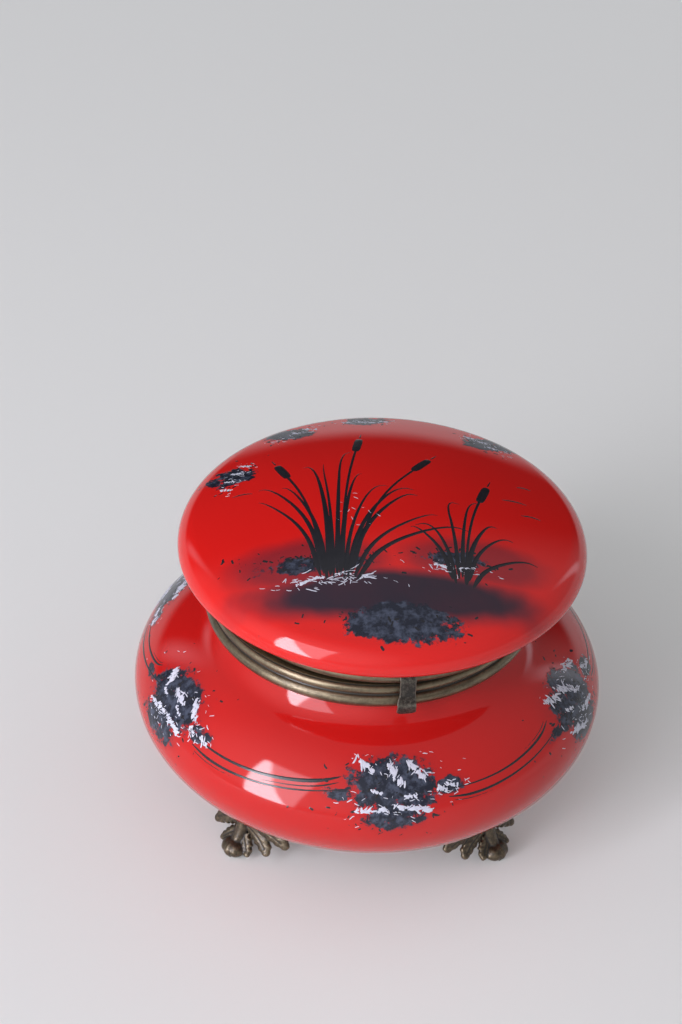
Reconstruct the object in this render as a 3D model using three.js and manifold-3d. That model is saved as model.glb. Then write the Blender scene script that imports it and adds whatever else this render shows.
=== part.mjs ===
// Round glass jewelry box: a squat glass bowl and a domed glass lid, each set in a brass collar with
// plaster, hinged at the back (+Y), closed by a springy brass tongue at the front (-Y), on a brass
// ring with four cast feet. Millimetres, +Z up, origin on the table under the middle of the bowl.

import * as THREE from "three";
import { mergeVertices } from "three/addons/utils/BufferGeometryUtils.js";
import Module from "manifold-3d";

const wasm = await Module();
wasm.setup();

// Driving dimensions

const FACETS = 48; // round the axis, the same for every turned piece so that their flats line up
const SEAT_GAP = 0.3; // between two pieces of one assembly that bear on each other

const FOOT_HEIGHT = 12.3; // from the table to the foot ring
const FOOT_COUNT = 4;
const FOOT_TURN = -8; // degrees: the ring was put on a little askew of the tongue
const FOOT_REACH = 54.5; // radius of the toes
const FOOT_LEAF_SPAN = 28; // width of the lobed leaf that each foot spreads on both sides of its leg
const FOOT_LEAF_THICKNESS = 2;
const FOOT_LEAF_FLARE = 2.6; // how far the leaf's top edge stands out under the glass
const FOOT_LEG_WIDTH = 5;
const TOE_WIDTH = 8;
const CAST_BEVEL = 0.7;

const FOOT_RING_SHEET = 0.9;
const FOOT_RING_HEIGHT = 3.6;
const FOOT_RING_BEAD = 0.7;
const FOOT_RING_LEDGE = 5; // how far the ring reaches in under the glass

const BOWL_RADIUS = 65;
const BOWL_WALL = 3.4;
const BOWL_FLOOR = 4.6;
const BOWL_LOWER_HEIGHT = 22.2; // from the glass's base up to its widest circle
const BOWL_UPPER_RISE = 28; // how high the shoulder's curve would run at the axis
const BASE_RADIUS = 42.5; // the glass's own foot rim
const BASE_RIM_HEIGHT = 2.4;
const BASE_COVE = 10; // width of the slanted band between the foot rim and the belly
const BASE_COVE_RISE = 2;
const KICK_DEPTH = 1.4; // hollow ground under the base
const KICK_INSET = 5;
const NECK_RADIUS = 41;
const NECK_WALL = 3.2;
const SHOULDER_BLEND = 6.5; // width of the hollow curve between shoulder and neck

const COLLAR_SHEET = 0.8;
const PLASTER_WIDTH = 2; // room between the bowl's neck and its collar
const COLLAR_DROP = 3.9; // how far the collar hangs below the straight part of the neck
const LOWER_BEAD = 1.9; // radius of the rounded bead
const UPPER_BEAD = 1.35;
const UPPER_BEAD_SETBACK = 0.3;
const LIP_RISE = 1.1; // the collar's inner edge stands up inside the lid
const SLEEVE_DEPTH = 4.8; // inner edge of the collar, down inside the neck
const SLEEVE_GAP = 0.4;

const PARTING = 0.5; // between the two collars when the lid is down
const LID_BEAD = 1.9;
const LID_COLLAR_HEIGHT = 7;
const LIP_CLEARANCE = 0.6; // between the lid's ledge and the lip it drops over, where they are closest
const LID_SHIFT = 2.5; // the lid was soldered to its hinge a little to the right (+X)

const LID_RADIUS = 55;
const LID_WALL = 3.4;
const LID_PLASTER_WIDTH = 1.5; // room between the lid's neck and its collar
const LID_NECK_WALL = 3.4;
const LID_UNDERSIDE_RISE = 4.8; // from the flat underside up to the rim's widest circle
const LID_RIM_ROUND = 13.5; // width of the rounded underside of the rim
const LID_SHOULDER_WIDTH = 9; // the dome turns down to the rim in a rounded shoulder
const LID_SHOULDER_RISE = 7;
const LID_DOME_SLOPE = 20; // degrees from level, where the dome meets the shoulder

const HINGE_WIDTH = 19;
const HINGE_KNUCKLE = 1.9;
const HINGE_PIN = 0.8;
const HINGE_PIN_CLEARANCE = 0.15;
const HINGE_HEAD = 1.3;
const HINGE_HEAD_THICKNESS = 0.6;
const HINGE_LEAF_SHEET = 0.8;
const HINGE_LEAF_HEIGHT = 4;
const HINGE_LEAF_START = 2.3; // from the pin's level to the leaf's edge, to clear the knuckles
const HINGE_CLEARANCE = 0.4;
const LID_KNUCKLE_SHARE = 0.4;
const HINGE_OPENING = 100; // degrees, where the lid's leaf meets the heel on the other leaf
const HEEL_LENGTH = 4.6;
const HEEL_THICKNESS = 1.2;
const HEEL_GAP = 0.12;
const BORE_FACETS = 16;

const TONGUE_WIDTH = 4.2;
const TONGUE_LIP_WIDTH = 5;
const TONGUE_SHEET = 0.7;
const TONGUE_CLEARANCE = 0.35;
const TONGUE_LIP_THROW = 1.7; // how far the thumb lip stands out from the tongue
const TONGUE_LIP_DROP = 2.9;
const TONGUE_OVERHANG = -0.3; // below the bowl's collar
const TONGUE_SHIFT = -0.45; // from the lid's middle
const TONGUE_LIP_SLIP = 0.4; // the lip is cut off centre, to the left

// Levels and radii worked out from them

const footRingZ = FOOT_HEIGHT + SEAT_GAP;
const glassBaseZ = footRingZ + FOOT_RING_SHEET + SEAT_GAP;
const equatorZ = glassBaseZ + BOWL_LOWER_HEIGHT;
const coveRadius = BASE_RADIUS + BASE_COVE;
const coveZ = glassBaseZ + BASE_RIM_HEIGHT + BASE_COVE_RISE;
const shoulderRadius = NECK_RADIUS + SHOULDER_BLEND;
const neckInner = NECK_RADIUS - NECK_WALL;

const collarInner = NECK_RADIUS + PLASTER_WIDTH;
const lowerBeadRadius = collarInner + COLLAR_SHEET / 2 + LOWER_BEAD;
const lidBeadRadius = collarInner + COLLAR_SHEET / 2 + LID_BEAD;
const sleeveInner = neckInner - SLEEVE_GAP - COLLAR_SHEET;
const lipOuter = sleeveInner + COLLAR_SHEET;

// Outlines are lists of [radius, height].

function arc(centreR, centreZ, radiusR, radiusZ, fromDegrees, toDegrees, steps) {
  const points = [];
  for (let i = 0; i <= steps; i++) {
    const a = THREE.MathUtils.degToRad(fromDegrees + ((toDegrees - fromDegrees) * i) / steps);
    points.push([centreR + radiusR * Math.cos(a), centreZ + radiusZ * Math.sin(a)]);
  }
  return points;
}

function bend(start, corner, end, steps) {
  const curve = new THREE.QuadraticBezierCurve(
    new THREE.Vector2(...start),
    new THREE.Vector2(...corner),
    new THREE.Vector2(...end),
  );
  return curve.getPoints(steps).map((p) => [p.x, p.y]);
}

// A bent sheet's outline: a line of points and the same line moved out to its right.
function thickened(line, thickness) {
  const moved = line.map(([r, z], i) => {
    const [fromR, fromZ] = line[Math.max(i - 1, 0)];
    const [toR, toZ] = line[Math.min(i + 1, line.length - 1)];
    const length = Math.hypot(toR - fromR, toZ - fromZ);
    return [r + ((toZ - fromZ) / length) * thickness, z - ((toR - fromR) / length) * thickness];
  });
  return [...line, ...moved.reverse()];
}

function degreesAt(height, semiHeight) {
  return THREE.MathUtils.radToDeg(Math.asin(height / semiHeight));
}

// Solids

function solidOf(geometry) {
  const bare = geometry.clone();
  bare.deleteAttribute("normal");
  bare.deleteAttribute("uv");
  const merged = mergeVertices(bare, 1e-4);
  const mesh = new wasm.Mesh({
    numProp: 3,
    vertProperties: merged.attributes.position.array,
    triVerts: new Uint32Array(merged.index.array),
  });
  return new wasm.Manifold(mesh);
}

function geometryOf(solid) {
  const mesh = solid.getMesh();
  const geometry = new THREE.BufferGeometry();
  geometry.setAttribute("position", new THREE.BufferAttribute(mesh.vertProperties, 3));
  geometry.setIndex(new THREE.BufferAttribute(mesh.triVerts, 1));
  geometry.computeVertexNormals();
  return geometry;
}

function signedArea(points) {
  let area = 0;
  points.forEach(([r, z], i) => {
    const [nextR, nextZ] = points[(i + 1) % points.length];
    area += (r * nextZ - nextR * z) / 2;
  });
  return area;
}

// Turns an outline round the Z axis. One that doesn't touch the axis is closed into a ring.
function turned(outline, facets = FACETS) {
  const points = signedArea(outline) > 0 ? [...outline] : [...outline].reverse();
  const onAxis = points[0][0] < 1e-9 && points[points.length - 1][0] < 1e-9;
  if (!onAxis) points.push(points[0]);
  const profile = points.map(([r, z]) => new THREE.Vector2(Math.max(r, 0), z));
  return new THREE.LatheGeometry(profile, facets).rotateX(Math.PI / 2);
}

// A flat outline in the Y-Z plane made solid along X, centred on X = 0.
function alongX(outlineYZ, width, bevel = 0) {
  const shape = new THREE.Shape(outlineYZ.map(([y, z]) => new THREE.Vector2(y, z)));
  const geometry = new THREE.ExtrudeGeometry(shape, {
    depth: width - 2 * bevel,
    bevelEnabled: bevel > 0,
    bevelThickness: bevel,
    bevelSize: bevel,
    bevelOffset: -bevel,
    bevelSegments: 1,
    curveSegments: 6,
  });
  geometry.translate(0, 0, bevel - width / 2);
  return geometry.applyMatrix4(new THREE.Matrix4().makeBasis(
    new THREE.Vector3(0, 1, 0),
    new THREE.Vector3(0, 0, 1),
    new THREE.Vector3(1, 0, 0),
  ));
}

// A flat outline in the X-Z plane made solid from one Y to another.
function alongY(outlineXZ, fromY, toY) {
  const shape = new THREE.Shape(outlineXZ.map(([x, z]) => new THREE.Vector2(x, z)));
  const geometry = new THREE.ExtrudeGeometry(shape, { depth: toY - fromY, bevelEnabled: false });
  return geometry.rotateX(Math.PI / 2).translate(0, toY, 0);
}

function rodAlongX(radius, fromX, toX) {
  return new THREE.CylinderGeometry(radius, radius, toX - fromX, BORE_FACETS)
    .rotateZ(Math.PI / 2)
    .translate((fromX + toX) / 2, 0, 0);
}

// Materials

const redGlass = new THREE.MeshStandardMaterial({ color: 0xcf1f1c, roughness: 0.08, metalness: 0 });
const agedBrass = new THREE.MeshStandardMaterial({ color: 0x8a7448, roughness: 0.42, metalness: 1 });
const castBrass = new THREE.MeshStandardMaterial({ color: 0x7a6640, roughness: 0.5, metalness: 1 });
const plaster = new THREE.MeshStandardMaterial({ color: 0xd9d2c3, roughness: 0.95, metalness: 0 });

function named(name, geometry, material) {
  const mesh = new THREE.Mesh(geometry, material);
  mesh.name = name;
  return mesh;
}

// Bowl

// The shoulder, from the widest circle up to the straight neck. It is used for the outside and,
// with the wall taken off, for the inside.
function shoulderOutline(radius, rise, neckRadius, blendRadius, steps) {
  const blendHeight = rise * Math.sqrt(1 - (blendRadius / radius) ** 2);
  const slope = (rise / radius) ** 2 * (blendRadius / blendHeight);
  const corner = [neckRadius, equatorZ + blendHeight + (blendRadius - neckRadius) * slope];
  const run = Math.hypot(blendRadius - neckRadius, corner[1] - equatorZ - blendHeight);
  return [
    ...arc(0, equatorZ, radius, rise, 0, degreesAt(blendHeight, rise), steps),
    ...bend([blendRadius, equatorZ + blendHeight], corner, [neckRadius, corner[1] + run], 5).slice(1),
  ];
}

const outerShoulder = shoulderOutline(BOWL_RADIUS, BOWL_UPPER_RISE, NECK_RADIUS, shoulderRadius, 7);
const neckStartZ = outerShoulder[outerShoulder.length - 1][1];
const collarZ = neckStartZ - COLLAR_DROP;
const collarPlateZ = collarZ + 2 * LOWER_BEAD + 2 * UPPER_BEAD;
const collarTopZ = collarPlateZ + COLLAR_SHEET;
const neckTopZ = collarPlateZ - SEAT_GAP;

// The belly's curve reaches down to the slanted band above the foot rim.
const bellyDepth = (equatorZ - coveZ) / Math.sqrt(1 - (coveRadius / BOWL_RADIUS) ** 2);

// Height of the slanted band at a radius, which the leaves of the feet keep clear of.
function bandBottomAt(radius) {
  return coveZ - BASE_COVE_RISE * ((coveRadius - radius) / BASE_COVE);
}

function bowlGlass() {
  const coveAngle = degreesAt(equatorZ - coveZ, bellyDepth);
  const floorZ = glassBaseZ + BOWL_FLOOR;
  const insideRadius = BOWL_RADIUS - BOWL_WALL;
  const insideDepth = bellyDepth - BOWL_WALL;
  const floorAngle = degreesAt(equatorZ - floorZ, insideDepth);
  const inside = shoulderOutline(
    insideRadius,
    BOWL_UPPER_RISE - BOWL_WALL,
    neckInner,
    shoulderRadius - NECK_WALL,
    6,
  );
  return turned([
    [0, glassBaseZ + KICK_DEPTH],
    [BASE_RADIUS - KICK_INSET, glassBaseZ + KICK_DEPTH],
    [BASE_RADIUS - KICK_INSET + KICK_DEPTH, glassBaseZ],
    [BASE_RADIUS, glassBaseZ],
    [BASE_RADIUS, glassBaseZ + BASE_RIM_HEIGHT],
    ...arc(0, equatorZ, BOWL_RADIUS, bellyDepth, -coveAngle, 0, 7).slice(0, -1),
    ...outerShoulder,
    [NECK_RADIUS, neckTopZ],
    [neckInner, neckTopZ],
    ...inside.reverse(),
    ...arc(0, equatorZ, insideRadius, insideDepth, 0, -floorAngle, 6).slice(1),
    [0, floorZ],
  ]);
}

function neckPlaster() {
  const bottom = neckStartZ - COLLAR_DROP / 3;
  return turned([
    [NECK_RADIUS + SEAT_GAP, bottom],
    [collarInner - SEAT_GAP, bottom],
    [collarInner - SEAT_GAP, neckTopZ],
    [NECK_RADIUS + SEAT_GAP, neckTopZ],
  ]);
}

// A sheet wall with two rounded beads outside, a plate over the glass, and an inner edge that
// stands up as a lip and hangs down as a sleeve.
function bowlCollar() {
  const beadCentre = collarInner + COLLAR_SHEET / 2;
  const upperCentreZ = collarZ + 2 * LOWER_BEAD + UPPER_BEAD;
  return turned([
    [collarInner, collarZ],
    ...arc(beadCentre, collarZ + LOWER_BEAD, LOWER_BEAD, LOWER_BEAD, -90, 75, 7),
    ...arc(beadCentre - UPPER_BEAD_SETBACK, upperCentreZ, UPPER_BEAD, UPPER_BEAD, -60, 75, 5),
    [collarInner + COLLAR_SHEET, collarTopZ],
    [lipOuter, collarTopZ],
    [lipOuter, collarTopZ + LIP_RISE],
    [sleeveInner, collarTopZ + LIP_RISE],
    [sleeveInner, collarPlateZ - SLEEVE_DEPTH],
    [lipOuter, collarPlateZ - SLEEVE_DEPTH],
    [lipOuter, collarPlateZ],
    [collarInner, collarPlateZ],
  ]);
}

// Foot ring and feet

const ringInner = BASE_RADIUS + 2 * SEAT_GAP + FOOT_RING_SHEET;
const ringOuter = ringInner + FOOT_RING_SHEET;

function footRing() {
  return turned([
    [BASE_RADIUS - FOOT_RING_LEDGE, 0],
    ...arc(ringOuter, FOOT_RING_BEAD, FOOT_RING_BEAD, FOOT_RING_BEAD, -90, 90, 4),
    [ringOuter, FOOT_RING_HEIGHT],
    [ringInner, FOOT_RING_HEIGHT],
    [ringInner, FOOT_RING_SHEET],
    [BASE_RADIUS - FOOT_RING_LEDGE, FOOT_RING_SHEET],
  ]);
}

function basePlaster() {
  const height = FOOT_RING_HEIGHT - FOOT_RING_SHEET - 2 * SEAT_GAP;
  return turned([
    [BASE_RADIUS + SEAT_GAP, 0],
    [ringInner - SEAT_GAP, 0],
    [ringInner - SEAT_GAP, height],
    [BASE_RADIUS + SEAT_GAP, height],
  ]);
}

// The room for a foot's leg and toe, from the ring out to the tip of the toe.
const footThrow = FOOT_REACH - ringOuter;

function throwAt(share) {
  return ringOuter + footThrow * share;
}

// One foot, standing out along -Y: a curved leg that ends in a curled toe, under a leaf that
// follows the ring and the underside of the bowl.
function footLeg() {
  const side = [
    [ringInner - 4, FOOT_HEIGHT],
    [ringInner - 3, FOOT_HEIGHT - 1.6],
    [throwAt(-0.1), FOOT_HEIGHT * 0.62],
    [throwAt(0.22), FOOT_HEIGHT * 0.36],
    [throwAt(0.24), FOOT_HEIGHT * 0.15],
    [throwAt(0.43), 0],
    [throwAt(0.79), 0],
    [throwAt(0.97), FOOT_HEIGHT * 0.1],
    [FOOT_REACH, FOOT_HEIGHT * 0.24],
    [throwAt(0.875), FOOT_HEIGHT * 0.36],
    [throwAt(0.69), FOOT_HEIGHT * 0.38],
    [throwAt(0.56), FOOT_HEIGHT * 0.46],
    [throwAt(0.595), FOOT_HEIGHT * 0.75],
    [throwAt(0.52), FOOT_HEIGHT],
    [throwAt(0.31), FOOT_HEIGHT + 2],
  ];
  return alongX(side.map(([out, z]) => [-out, z]), FOOT_LEG_WIDTH, CAST_BEVEL);
}

function footToe() {
  const length = footThrow * 0.69;
  return new THREE.SphereGeometry(0.5, 12, 8)
    .scale(TOE_WIDTH, length, FOOT_HEIGHT * 0.4)
    .translate(0, length / 2 - FOOT_REACH, FOOT_HEIGHT * 0.2);
}

// The leaf is a bent sheet: flat against the ring, flared towards the toe below it and towards the
// bowl's belly above it. Seen from the front it is cut into three lobes a side.
function footLeaf() {
  const half = FOOT_LEAF_SPAN / 2;
  const lobes = [
    [half * 0.2, 0],
    [half * 0.36, FOOT_HEIGHT * 0.16],
    [half * 0.34, FOOT_HEIGHT * 0.34],
    [half * 0.6, FOOT_HEIGHT * 0.32],
    [half * 0.68, FOOT_HEIGHT * 0.46],
    [half * 0.6, FOOT_HEIGHT * 0.57],
    [half * 0.86, FOOT_HEIGHT * 0.58],
    [half * 0.92, FOOT_HEIGHT * 0.74],
    [half * 0.82, FOOT_HEIGHT * 0.88],
    [half, FOOT_HEIGHT],
    [half * 0.98, FOOT_HEIGHT * 1.18],
    [half * 0.78, FOOT_HEIGHT * 1.28],
    [half * 0.5, FOOT_HEIGHT * 1.3],
    [half * 0.4, FOOT_HEIGHT * 1.46],
    [half * 0.16, FOOT_HEIGHT * 1.5],
    [0, FOOT_HEIGHT * 1.58],
  ];
  const mirrored = lobes.slice(0, -1).reverse().map(([x, z]) => [-x, z]);
  const front = solidOf(alongY([...lobes, ...mirrored], -FOOT_REACH - 1, -ringInner));
  const against = ringOuter + FOOT_RING_BEAD + SEAT_GAP;
  const flareTop = against + FOOT_LEAF_FLARE;
  const back = [
    ...bend([throwAt(0.9), 0], [against + footThrow * 0.08, FOOT_HEIGHT * 0.3], [against, FOOT_HEIGHT], 5),
    [against, coveZ - BASE_COVE_RISE - SEAT_GAP],
    [flareTop, bandBottomAt(flareTop) - 2 * SEAT_GAP],
  ];
  return front.intersect(solidOf(turned(thickened(back, FOOT_LEAF_THICKNESS))));
}

function footCasting() {
  const aboveTable = solidOf(
    new THREE.BoxGeometry(80, 80, 40).translate(0, -FOOT_REACH, 20),
  );
  const room = solidOf(turned([
    [0, FOOT_HEIGHT],
    [ringOuter + FOOT_RING_BEAD + SEAT_GAP, FOOT_HEIGHT],
    [ringOuter + FOOT_RING_BEAD + SEAT_GAP, equatorZ],
    [0, equatorZ],
  ]));
  const joined = footLeaf().add(solidOf(footLeg())).add(solidOf(footToe()));
  return geometryOf(joined.subtract(room).intersect(aboveTable));
}

// Lid

const lidCollarZ = collarTopZ + PARTING;
const lidLedgeZ = lidCollarZ + COLLAR_SHEET;
const lidWallInner = collarInner - COLLAR_SHEET / 2;
const lidNeckOuter = lidWallInner - LID_PLASTER_WIDTH;
const lidNeckInner = lidNeckOuter - LID_NECK_WALL;
const lidUndersideZ = lidCollarZ + LID_COLLAR_HEIGHT + SEAT_GAP;
const lidRimZ = lidUndersideZ + LID_UNDERSIDE_RISE;

function lidCollar() {
  const top = lidCollarZ + LID_COLLAR_HEIGHT;
  const ledgeInner = lipOuter + LID_SHIFT + LIP_CLEARANCE;
  return turned([
    [ledgeInner, lidCollarZ],
    ...arc(collarInner + COLLAR_SHEET / 2, lidCollarZ + LID_BEAD, LID_BEAD, LID_BEAD, -90, 80, 8),
    [lidWallInner + COLLAR_SHEET, lidCollarZ + 2 * LID_BEAD],
    [lidWallInner + COLLAR_SHEET, top],
    [lidWallInner, top],
    [lidWallInner, lidLedgeZ],
    [ledgeInner, lidLedgeZ],
  ]);
}

function lidPlaster() {
  return turned([
    [lidNeckOuter + SEAT_GAP, lidLedgeZ + SEAT_GAP],
    [lidWallInner - SEAT_GAP, lidLedgeZ + SEAT_GAP],
    [lidWallInner - SEAT_GAP, lidUndersideZ - SEAT_GAP],
    [lidNeckOuter + SEAT_GAP, lidUndersideZ - SEAT_GAP],
  ]);
}

// From the lid's widest circle up the shoulder and over the dome to the top. Inside, the wall is
// taken off the shoulder, and the dome follows it.
function lidUpper(wall, shoulderSteps, domeSteps) {
  const width = LID_SHOULDER_WIDTH - wall;
  const rise = LID_SHOULDER_RISE - wall;
  const slope = THREE.MathUtils.degToRad(LID_DOME_SLOPE);
  const shoulderEnd = THREE.MathUtils.radToDeg(Math.atan(rise / (width * Math.tan(slope))));
  const shoulder = arc(
    LID_RADIUS - LID_SHOULDER_WIDTH, lidRimZ, width, rise, 0, shoulderEnd, shoulderSteps,
  );
  const [edgeRadius, edgeZ] = shoulder[shoulder.length - 1];
  const sphere = edgeRadius / Math.sin(slope);
  const sphereZ = edgeZ - sphere * Math.cos(slope);
  return [
    ...shoulder,
    ...arc(0, sphereZ, sphere, sphere, 90 - LID_DOME_SLOPE, 90, domeSteps).slice(1),
  ];
}

function lidGlass() {
  const neckBottom = lidLedgeZ + SEAT_GAP;
  const rimCentre = LID_RADIUS - LID_RIM_ROUND;
  const insideCentre = LID_RADIUS - LID_SHOULDER_WIDTH;
  const insideUnder = lidUndersideZ + LID_WALL;
  return turned([
    [lidNeckInner, neckBottom],
    [lidNeckOuter, neckBottom],
    [lidNeckOuter, lidUndersideZ],
    ...arc(rimCentre, lidRimZ, LID_RIM_ROUND, LID_UNDERSIDE_RISE, -90, 0, 7),
    ...lidUpper(0, 5, 6).slice(1),
    ...lidUpper(LID_WALL, 3, 5).reverse(),
    ...arc(insideCentre, lidRimZ, LID_SHOULDER_WIDTH - LID_WALL, lidRimZ - insideUnder, -30, -90, 2),
    [lidNeckInner + 1.5, insideUnder],
    [lidNeckInner, insideUnder - 1.5],
  ]);
}

// Hinge

const hingeY = Math.max(lowerBeadRadius, lidBeadRadius) + HINGE_CLEARANCE + HINGE_KNUCKLE;
const hingeZ = collarTopZ + PARTING / 2;
const lidKnuckleHalf = (HINGE_WIDTH * LID_KNUCKLE_SHARE) / 2;

// A leaf follows its collar's curve. It is cut from a thin ring round the collar's centre by a
// block as wide as the hinge.
function hingeLeaf(fromZ, toZ, collarCentreX) {
  const inner = Math.max(lowerBeadRadius, lidBeadRadius) + SEAT_GAP;
  const ring = solidOf(turned([
    [inner, fromZ],
    [inner + HINGE_LEAF_SHEET, fromZ],
    [inner + HINGE_LEAF_SHEET, toZ],
    [inner, toZ],
  ]).translate(collarCentreX, 0, 0));
  const block = solidOf(
    new THREE.BoxGeometry(HINGE_WIDTH, hingeY, 60).translate(0, hingeY, hingeZ),
  );
  return ring.intersect(block).translate(0, -hingeY, -hingeZ);
}

// A knuckle round the pin and the web that ties it to its leaf. side is 1 above the pin, -1 below.
function knuckle(fromX, toX, side) {
  const leafFace = Math.max(lowerBeadRadius, lidBeadRadius) + SEAT_GAP - hingeY;
  const web = [
    [leafFace, side * 0.3],
    [leafFace, side * (HINGE_LEAF_START + 1.5)],
    [leafFace + HINGE_LEAF_SHEET, side * (HINGE_LEAF_START + 1.5)],
    [HINGE_KNUCKLE * 0.7, side * HINGE_KNUCKLE * 0.7],
    [0, side * 0.3],
  ];
  const outline = side > 0 ? web.reverse() : web;
  const webSolid = solidOf(alongX(outline, toX - fromX).translate((fromX + toX) / 2, 0, 0));
  return webSolid.add(solidOf(rodAlongX(HINGE_KNUCKLE, fromX, toX)));
}

// The heel stands out behind the bowl's knuckles. The lid's leaf comes down on it when it is open.
function heel(fromX, toX) {
  const opening = THREE.MathUtils.degToRad(HINGE_OPENING);
  const leafOutside = Math.max(lowerBeadRadius, lidBeadRadius) + SEAT_GAP + HINGE_LEAF_SHEET - hingeY;
  // A point of the leaf's outer face, turned with the lid to its limit, HEEL_GAP above the heel.
  const openLeaf = (height) => [
    leafOutside * Math.cos(opening) + height * Math.sin(opening),
    -leafOutside * Math.sin(opening) + height * Math.cos(opening) - HEEL_GAP,
  ];
  const near = openLeaf(HINGE_LEAF_START);
  const far = openLeaf(HEEL_LENGTH);
  const outline = [
    [0, -HINGE_KNUCKLE],
    [far[0], far[1] - HEEL_THICKNESS],
    far,
    near,
    [0, 0],
  ];
  return solidOf(alongX(outline, toX - fromX).translate((fromX + toX) / 2, 0, 0));
}

function hingeBore() {
  return solidOf(rodAlongX(HINGE_PIN + HINGE_PIN_CLEARANCE, -HINGE_WIDTH, HINGE_WIDTH));
}

function bowlHingeLeaf() {
  const inner = lidKnuckleHalf + HINGE_PIN_CLEARANCE;
  const half = HINGE_WIDTH / 2;
  const top = hingeZ - HINGE_LEAF_START;
  const leaf = hingeLeaf(top - HINGE_LEAF_HEIGHT, top, 0);
  return geometryOf(
    leaf
      .add(knuckle(inner, half, -1))
      .add(knuckle(-half, -inner, -1))
      .add(heel(inner, half))
      .add(heel(-half, -inner))
      .subtract(hingeBore()),
  );
}

function lidHingeLeaf() {
  const bottom = hingeZ + HINGE_LEAF_START;
  const leaf = hingeLeaf(bottom, bottom + HINGE_LEAF_HEIGHT, LID_SHIFT);
  return geometryOf(
    leaf
      .add(knuckle(-lidKnuckleHalf + HINGE_PIN_CLEARANCE, lidKnuckleHalf - HINGE_PIN_CLEARANCE, 1))
      .subtract(hingeBore()),
  );
}

function hingePin() {
  const half = HINGE_WIDTH / 2 + HINGE_PIN_CLEARANCE;
  const outline = [
    [0, -half - HINGE_HEAD_THICKNESS],
    [HINGE_HEAD * 0.7, -half - HINGE_HEAD_THICKNESS],
    [HINGE_HEAD, -half],
    [HINGE_PIN, -half],
    [HINGE_PIN, half],
    [HINGE_HEAD, half],
    [HINGE_HEAD * 0.7, half + HINGE_HEAD_THICKNESS],
    [0, half + HINGE_HEAD_THICKNESS],
  ];
  return turned(outline, BORE_FACETS).rotateY(Math.PI / 2);
}

// Tongue

// A strip of springy sheet, seen from the side: it is soldered to the lid's collar above the bead,
// passes over the three beads and ends in a bent-out thumb lip.
function tongue() {
  const wall = lidWallInner + COLLAR_SHEET + SEAT_GAP;
  const over = Math.max(lowerBeadRadius, lidBeadRadius) + TONGUE_CLEARANCE;
  const rootTop = lidCollarZ + LID_COLLAR_HEIGHT - SEAT_GAP;
  const rootBottom = lidCollarZ + 2 * LID_BEAD + 0.6;
  const beadTop = lidCollarZ + LID_BEAD + 0.4;
  const lipBottom = collarZ - TONGUE_OVERHANG;
  const crease = lipBottom + TONGUE_LIP_DROP;
  const bendZ = crease + 1.9 * TONGUE_LIP_THROW;
  const inside = [
    [wall, rootTop],
    [wall, rootBottom],
    [over, beadTop],
    [over, bendZ],
    [over + TONGUE_LIP_THROW, crease],
    [over + TONGUE_LIP_THROW - 0.4, lipBottom],
  ];
  const outside = [
    [over + TONGUE_LIP_THROW - 0.4 + TONGUE_SHEET, lipBottom],
    [over + TONGUE_LIP_THROW + TONGUE_SHEET, crease + 0.2],
    [over + TONGUE_SHEET, bendZ + 0.3],
    [over + TONGUE_SHEET, beadTop + 0.4],
    [wall + TONGUE_SHEET, rootBottom + 0.6],
    [wall + TONGUE_SHEET, rootTop],
  ];
  const strip = [...inside, ...outside].map(([out, z]) => [-out, z]);
  const strap = solidOf(alongX(strip, TONGUE_WIDTH));
  // Below the bend the strip widens into its lip.
  const belowBend = solidOf(new THREE.BoxGeometry(40, 40, 40).translate(0, -over, bendZ - 1 - 20));
  const lip = solidOf(alongX(strip, TONGUE_LIP_WIDTH).translate(-TONGUE_LIP_SLIP, 0, 0));
  return geometryOf(strap.add(lip.intersect(belowBend)));
}

// Assembly

const box = new THREE.Group();

const bowl = new THREE.Group();
bowl.add(named("bowl_glass", bowlGlass(), redGlass));
bowl.add(named("bowl_neck_plaster", neckPlaster(), plaster));
bowl.add(named("bowl_collar", bowlCollar(), agedBrass));
box.add(bowl);

const stand = new THREE.Group();
stand.rotation.z = THREE.MathUtils.degToRad(FOOT_TURN);
const ring = named("foot_ring", footRing(), castBrass);
ring.position.z = footRingZ;
stand.add(ring);
const ringBedding = named("foot_ring_plaster", basePlaster(), plaster);
ringBedding.position.z = glassBaseZ;
stand.add(ringBedding);
const footNames = ["foot_front_right", "foot_back_right", "foot_back_left", "foot_front_left"];
for (let i = 0; i < FOOT_COUNT; i++) {
  const foot = named(footNames[i] ?? `foot_${i + 1}`, footCasting(), castBrass);
  foot.rotation.z = (2 * Math.PI * (i + 0.5)) / FOOT_COUNT;
  stand.add(foot);
}
box.add(stand);

const lid = new THREE.Group();
lid.position.x = LID_SHIFT;
lid.add(named("lid_glass", lidGlass(), redGlass));
lid.add(named("lid_plaster", lidPlaster(), plaster));
lid.add(named("lid_collar", lidCollar(), agedBrass));
const clasp = named("clasp_tongue", tongue(), agedBrass);
clasp.position.x = TONGUE_SHIFT;
lid.add(clasp);
box.add(lid);

const hinge = new THREE.Group();
hinge.position.set(0, hingeY, hingeZ);
hinge.add(named("hinge_leaf_bowl", bowlHingeLeaf(), agedBrass));
hinge.add(named("hinge_leaf_lid", lidHingeLeaf(), agedBrass));
hinge.add(named("hinge_pin", hingePin(), agedBrass));
box.add(hinge);

export default box;
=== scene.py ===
# %% [markdown]
# # A glass jewelry box on a brass stand
#
# The box is a squat bowl of opaque red glass with a wide, gently domed lid of the same glass. Both are set
# in rolled brass collars, which meet at a hinge behind and at a springy brass tongue in front. The bowl
# stands on a brass ring with four cast leaf feet. Glass and lid carry painted sprays in black, with
# raised touches of white enamel.
#
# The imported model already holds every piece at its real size, with the joints. This script loads it as a
# fixed frame and models the surfaces that the eye sees over it.

# %% Load the frame
import math
from contextlib import contextmanager

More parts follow.
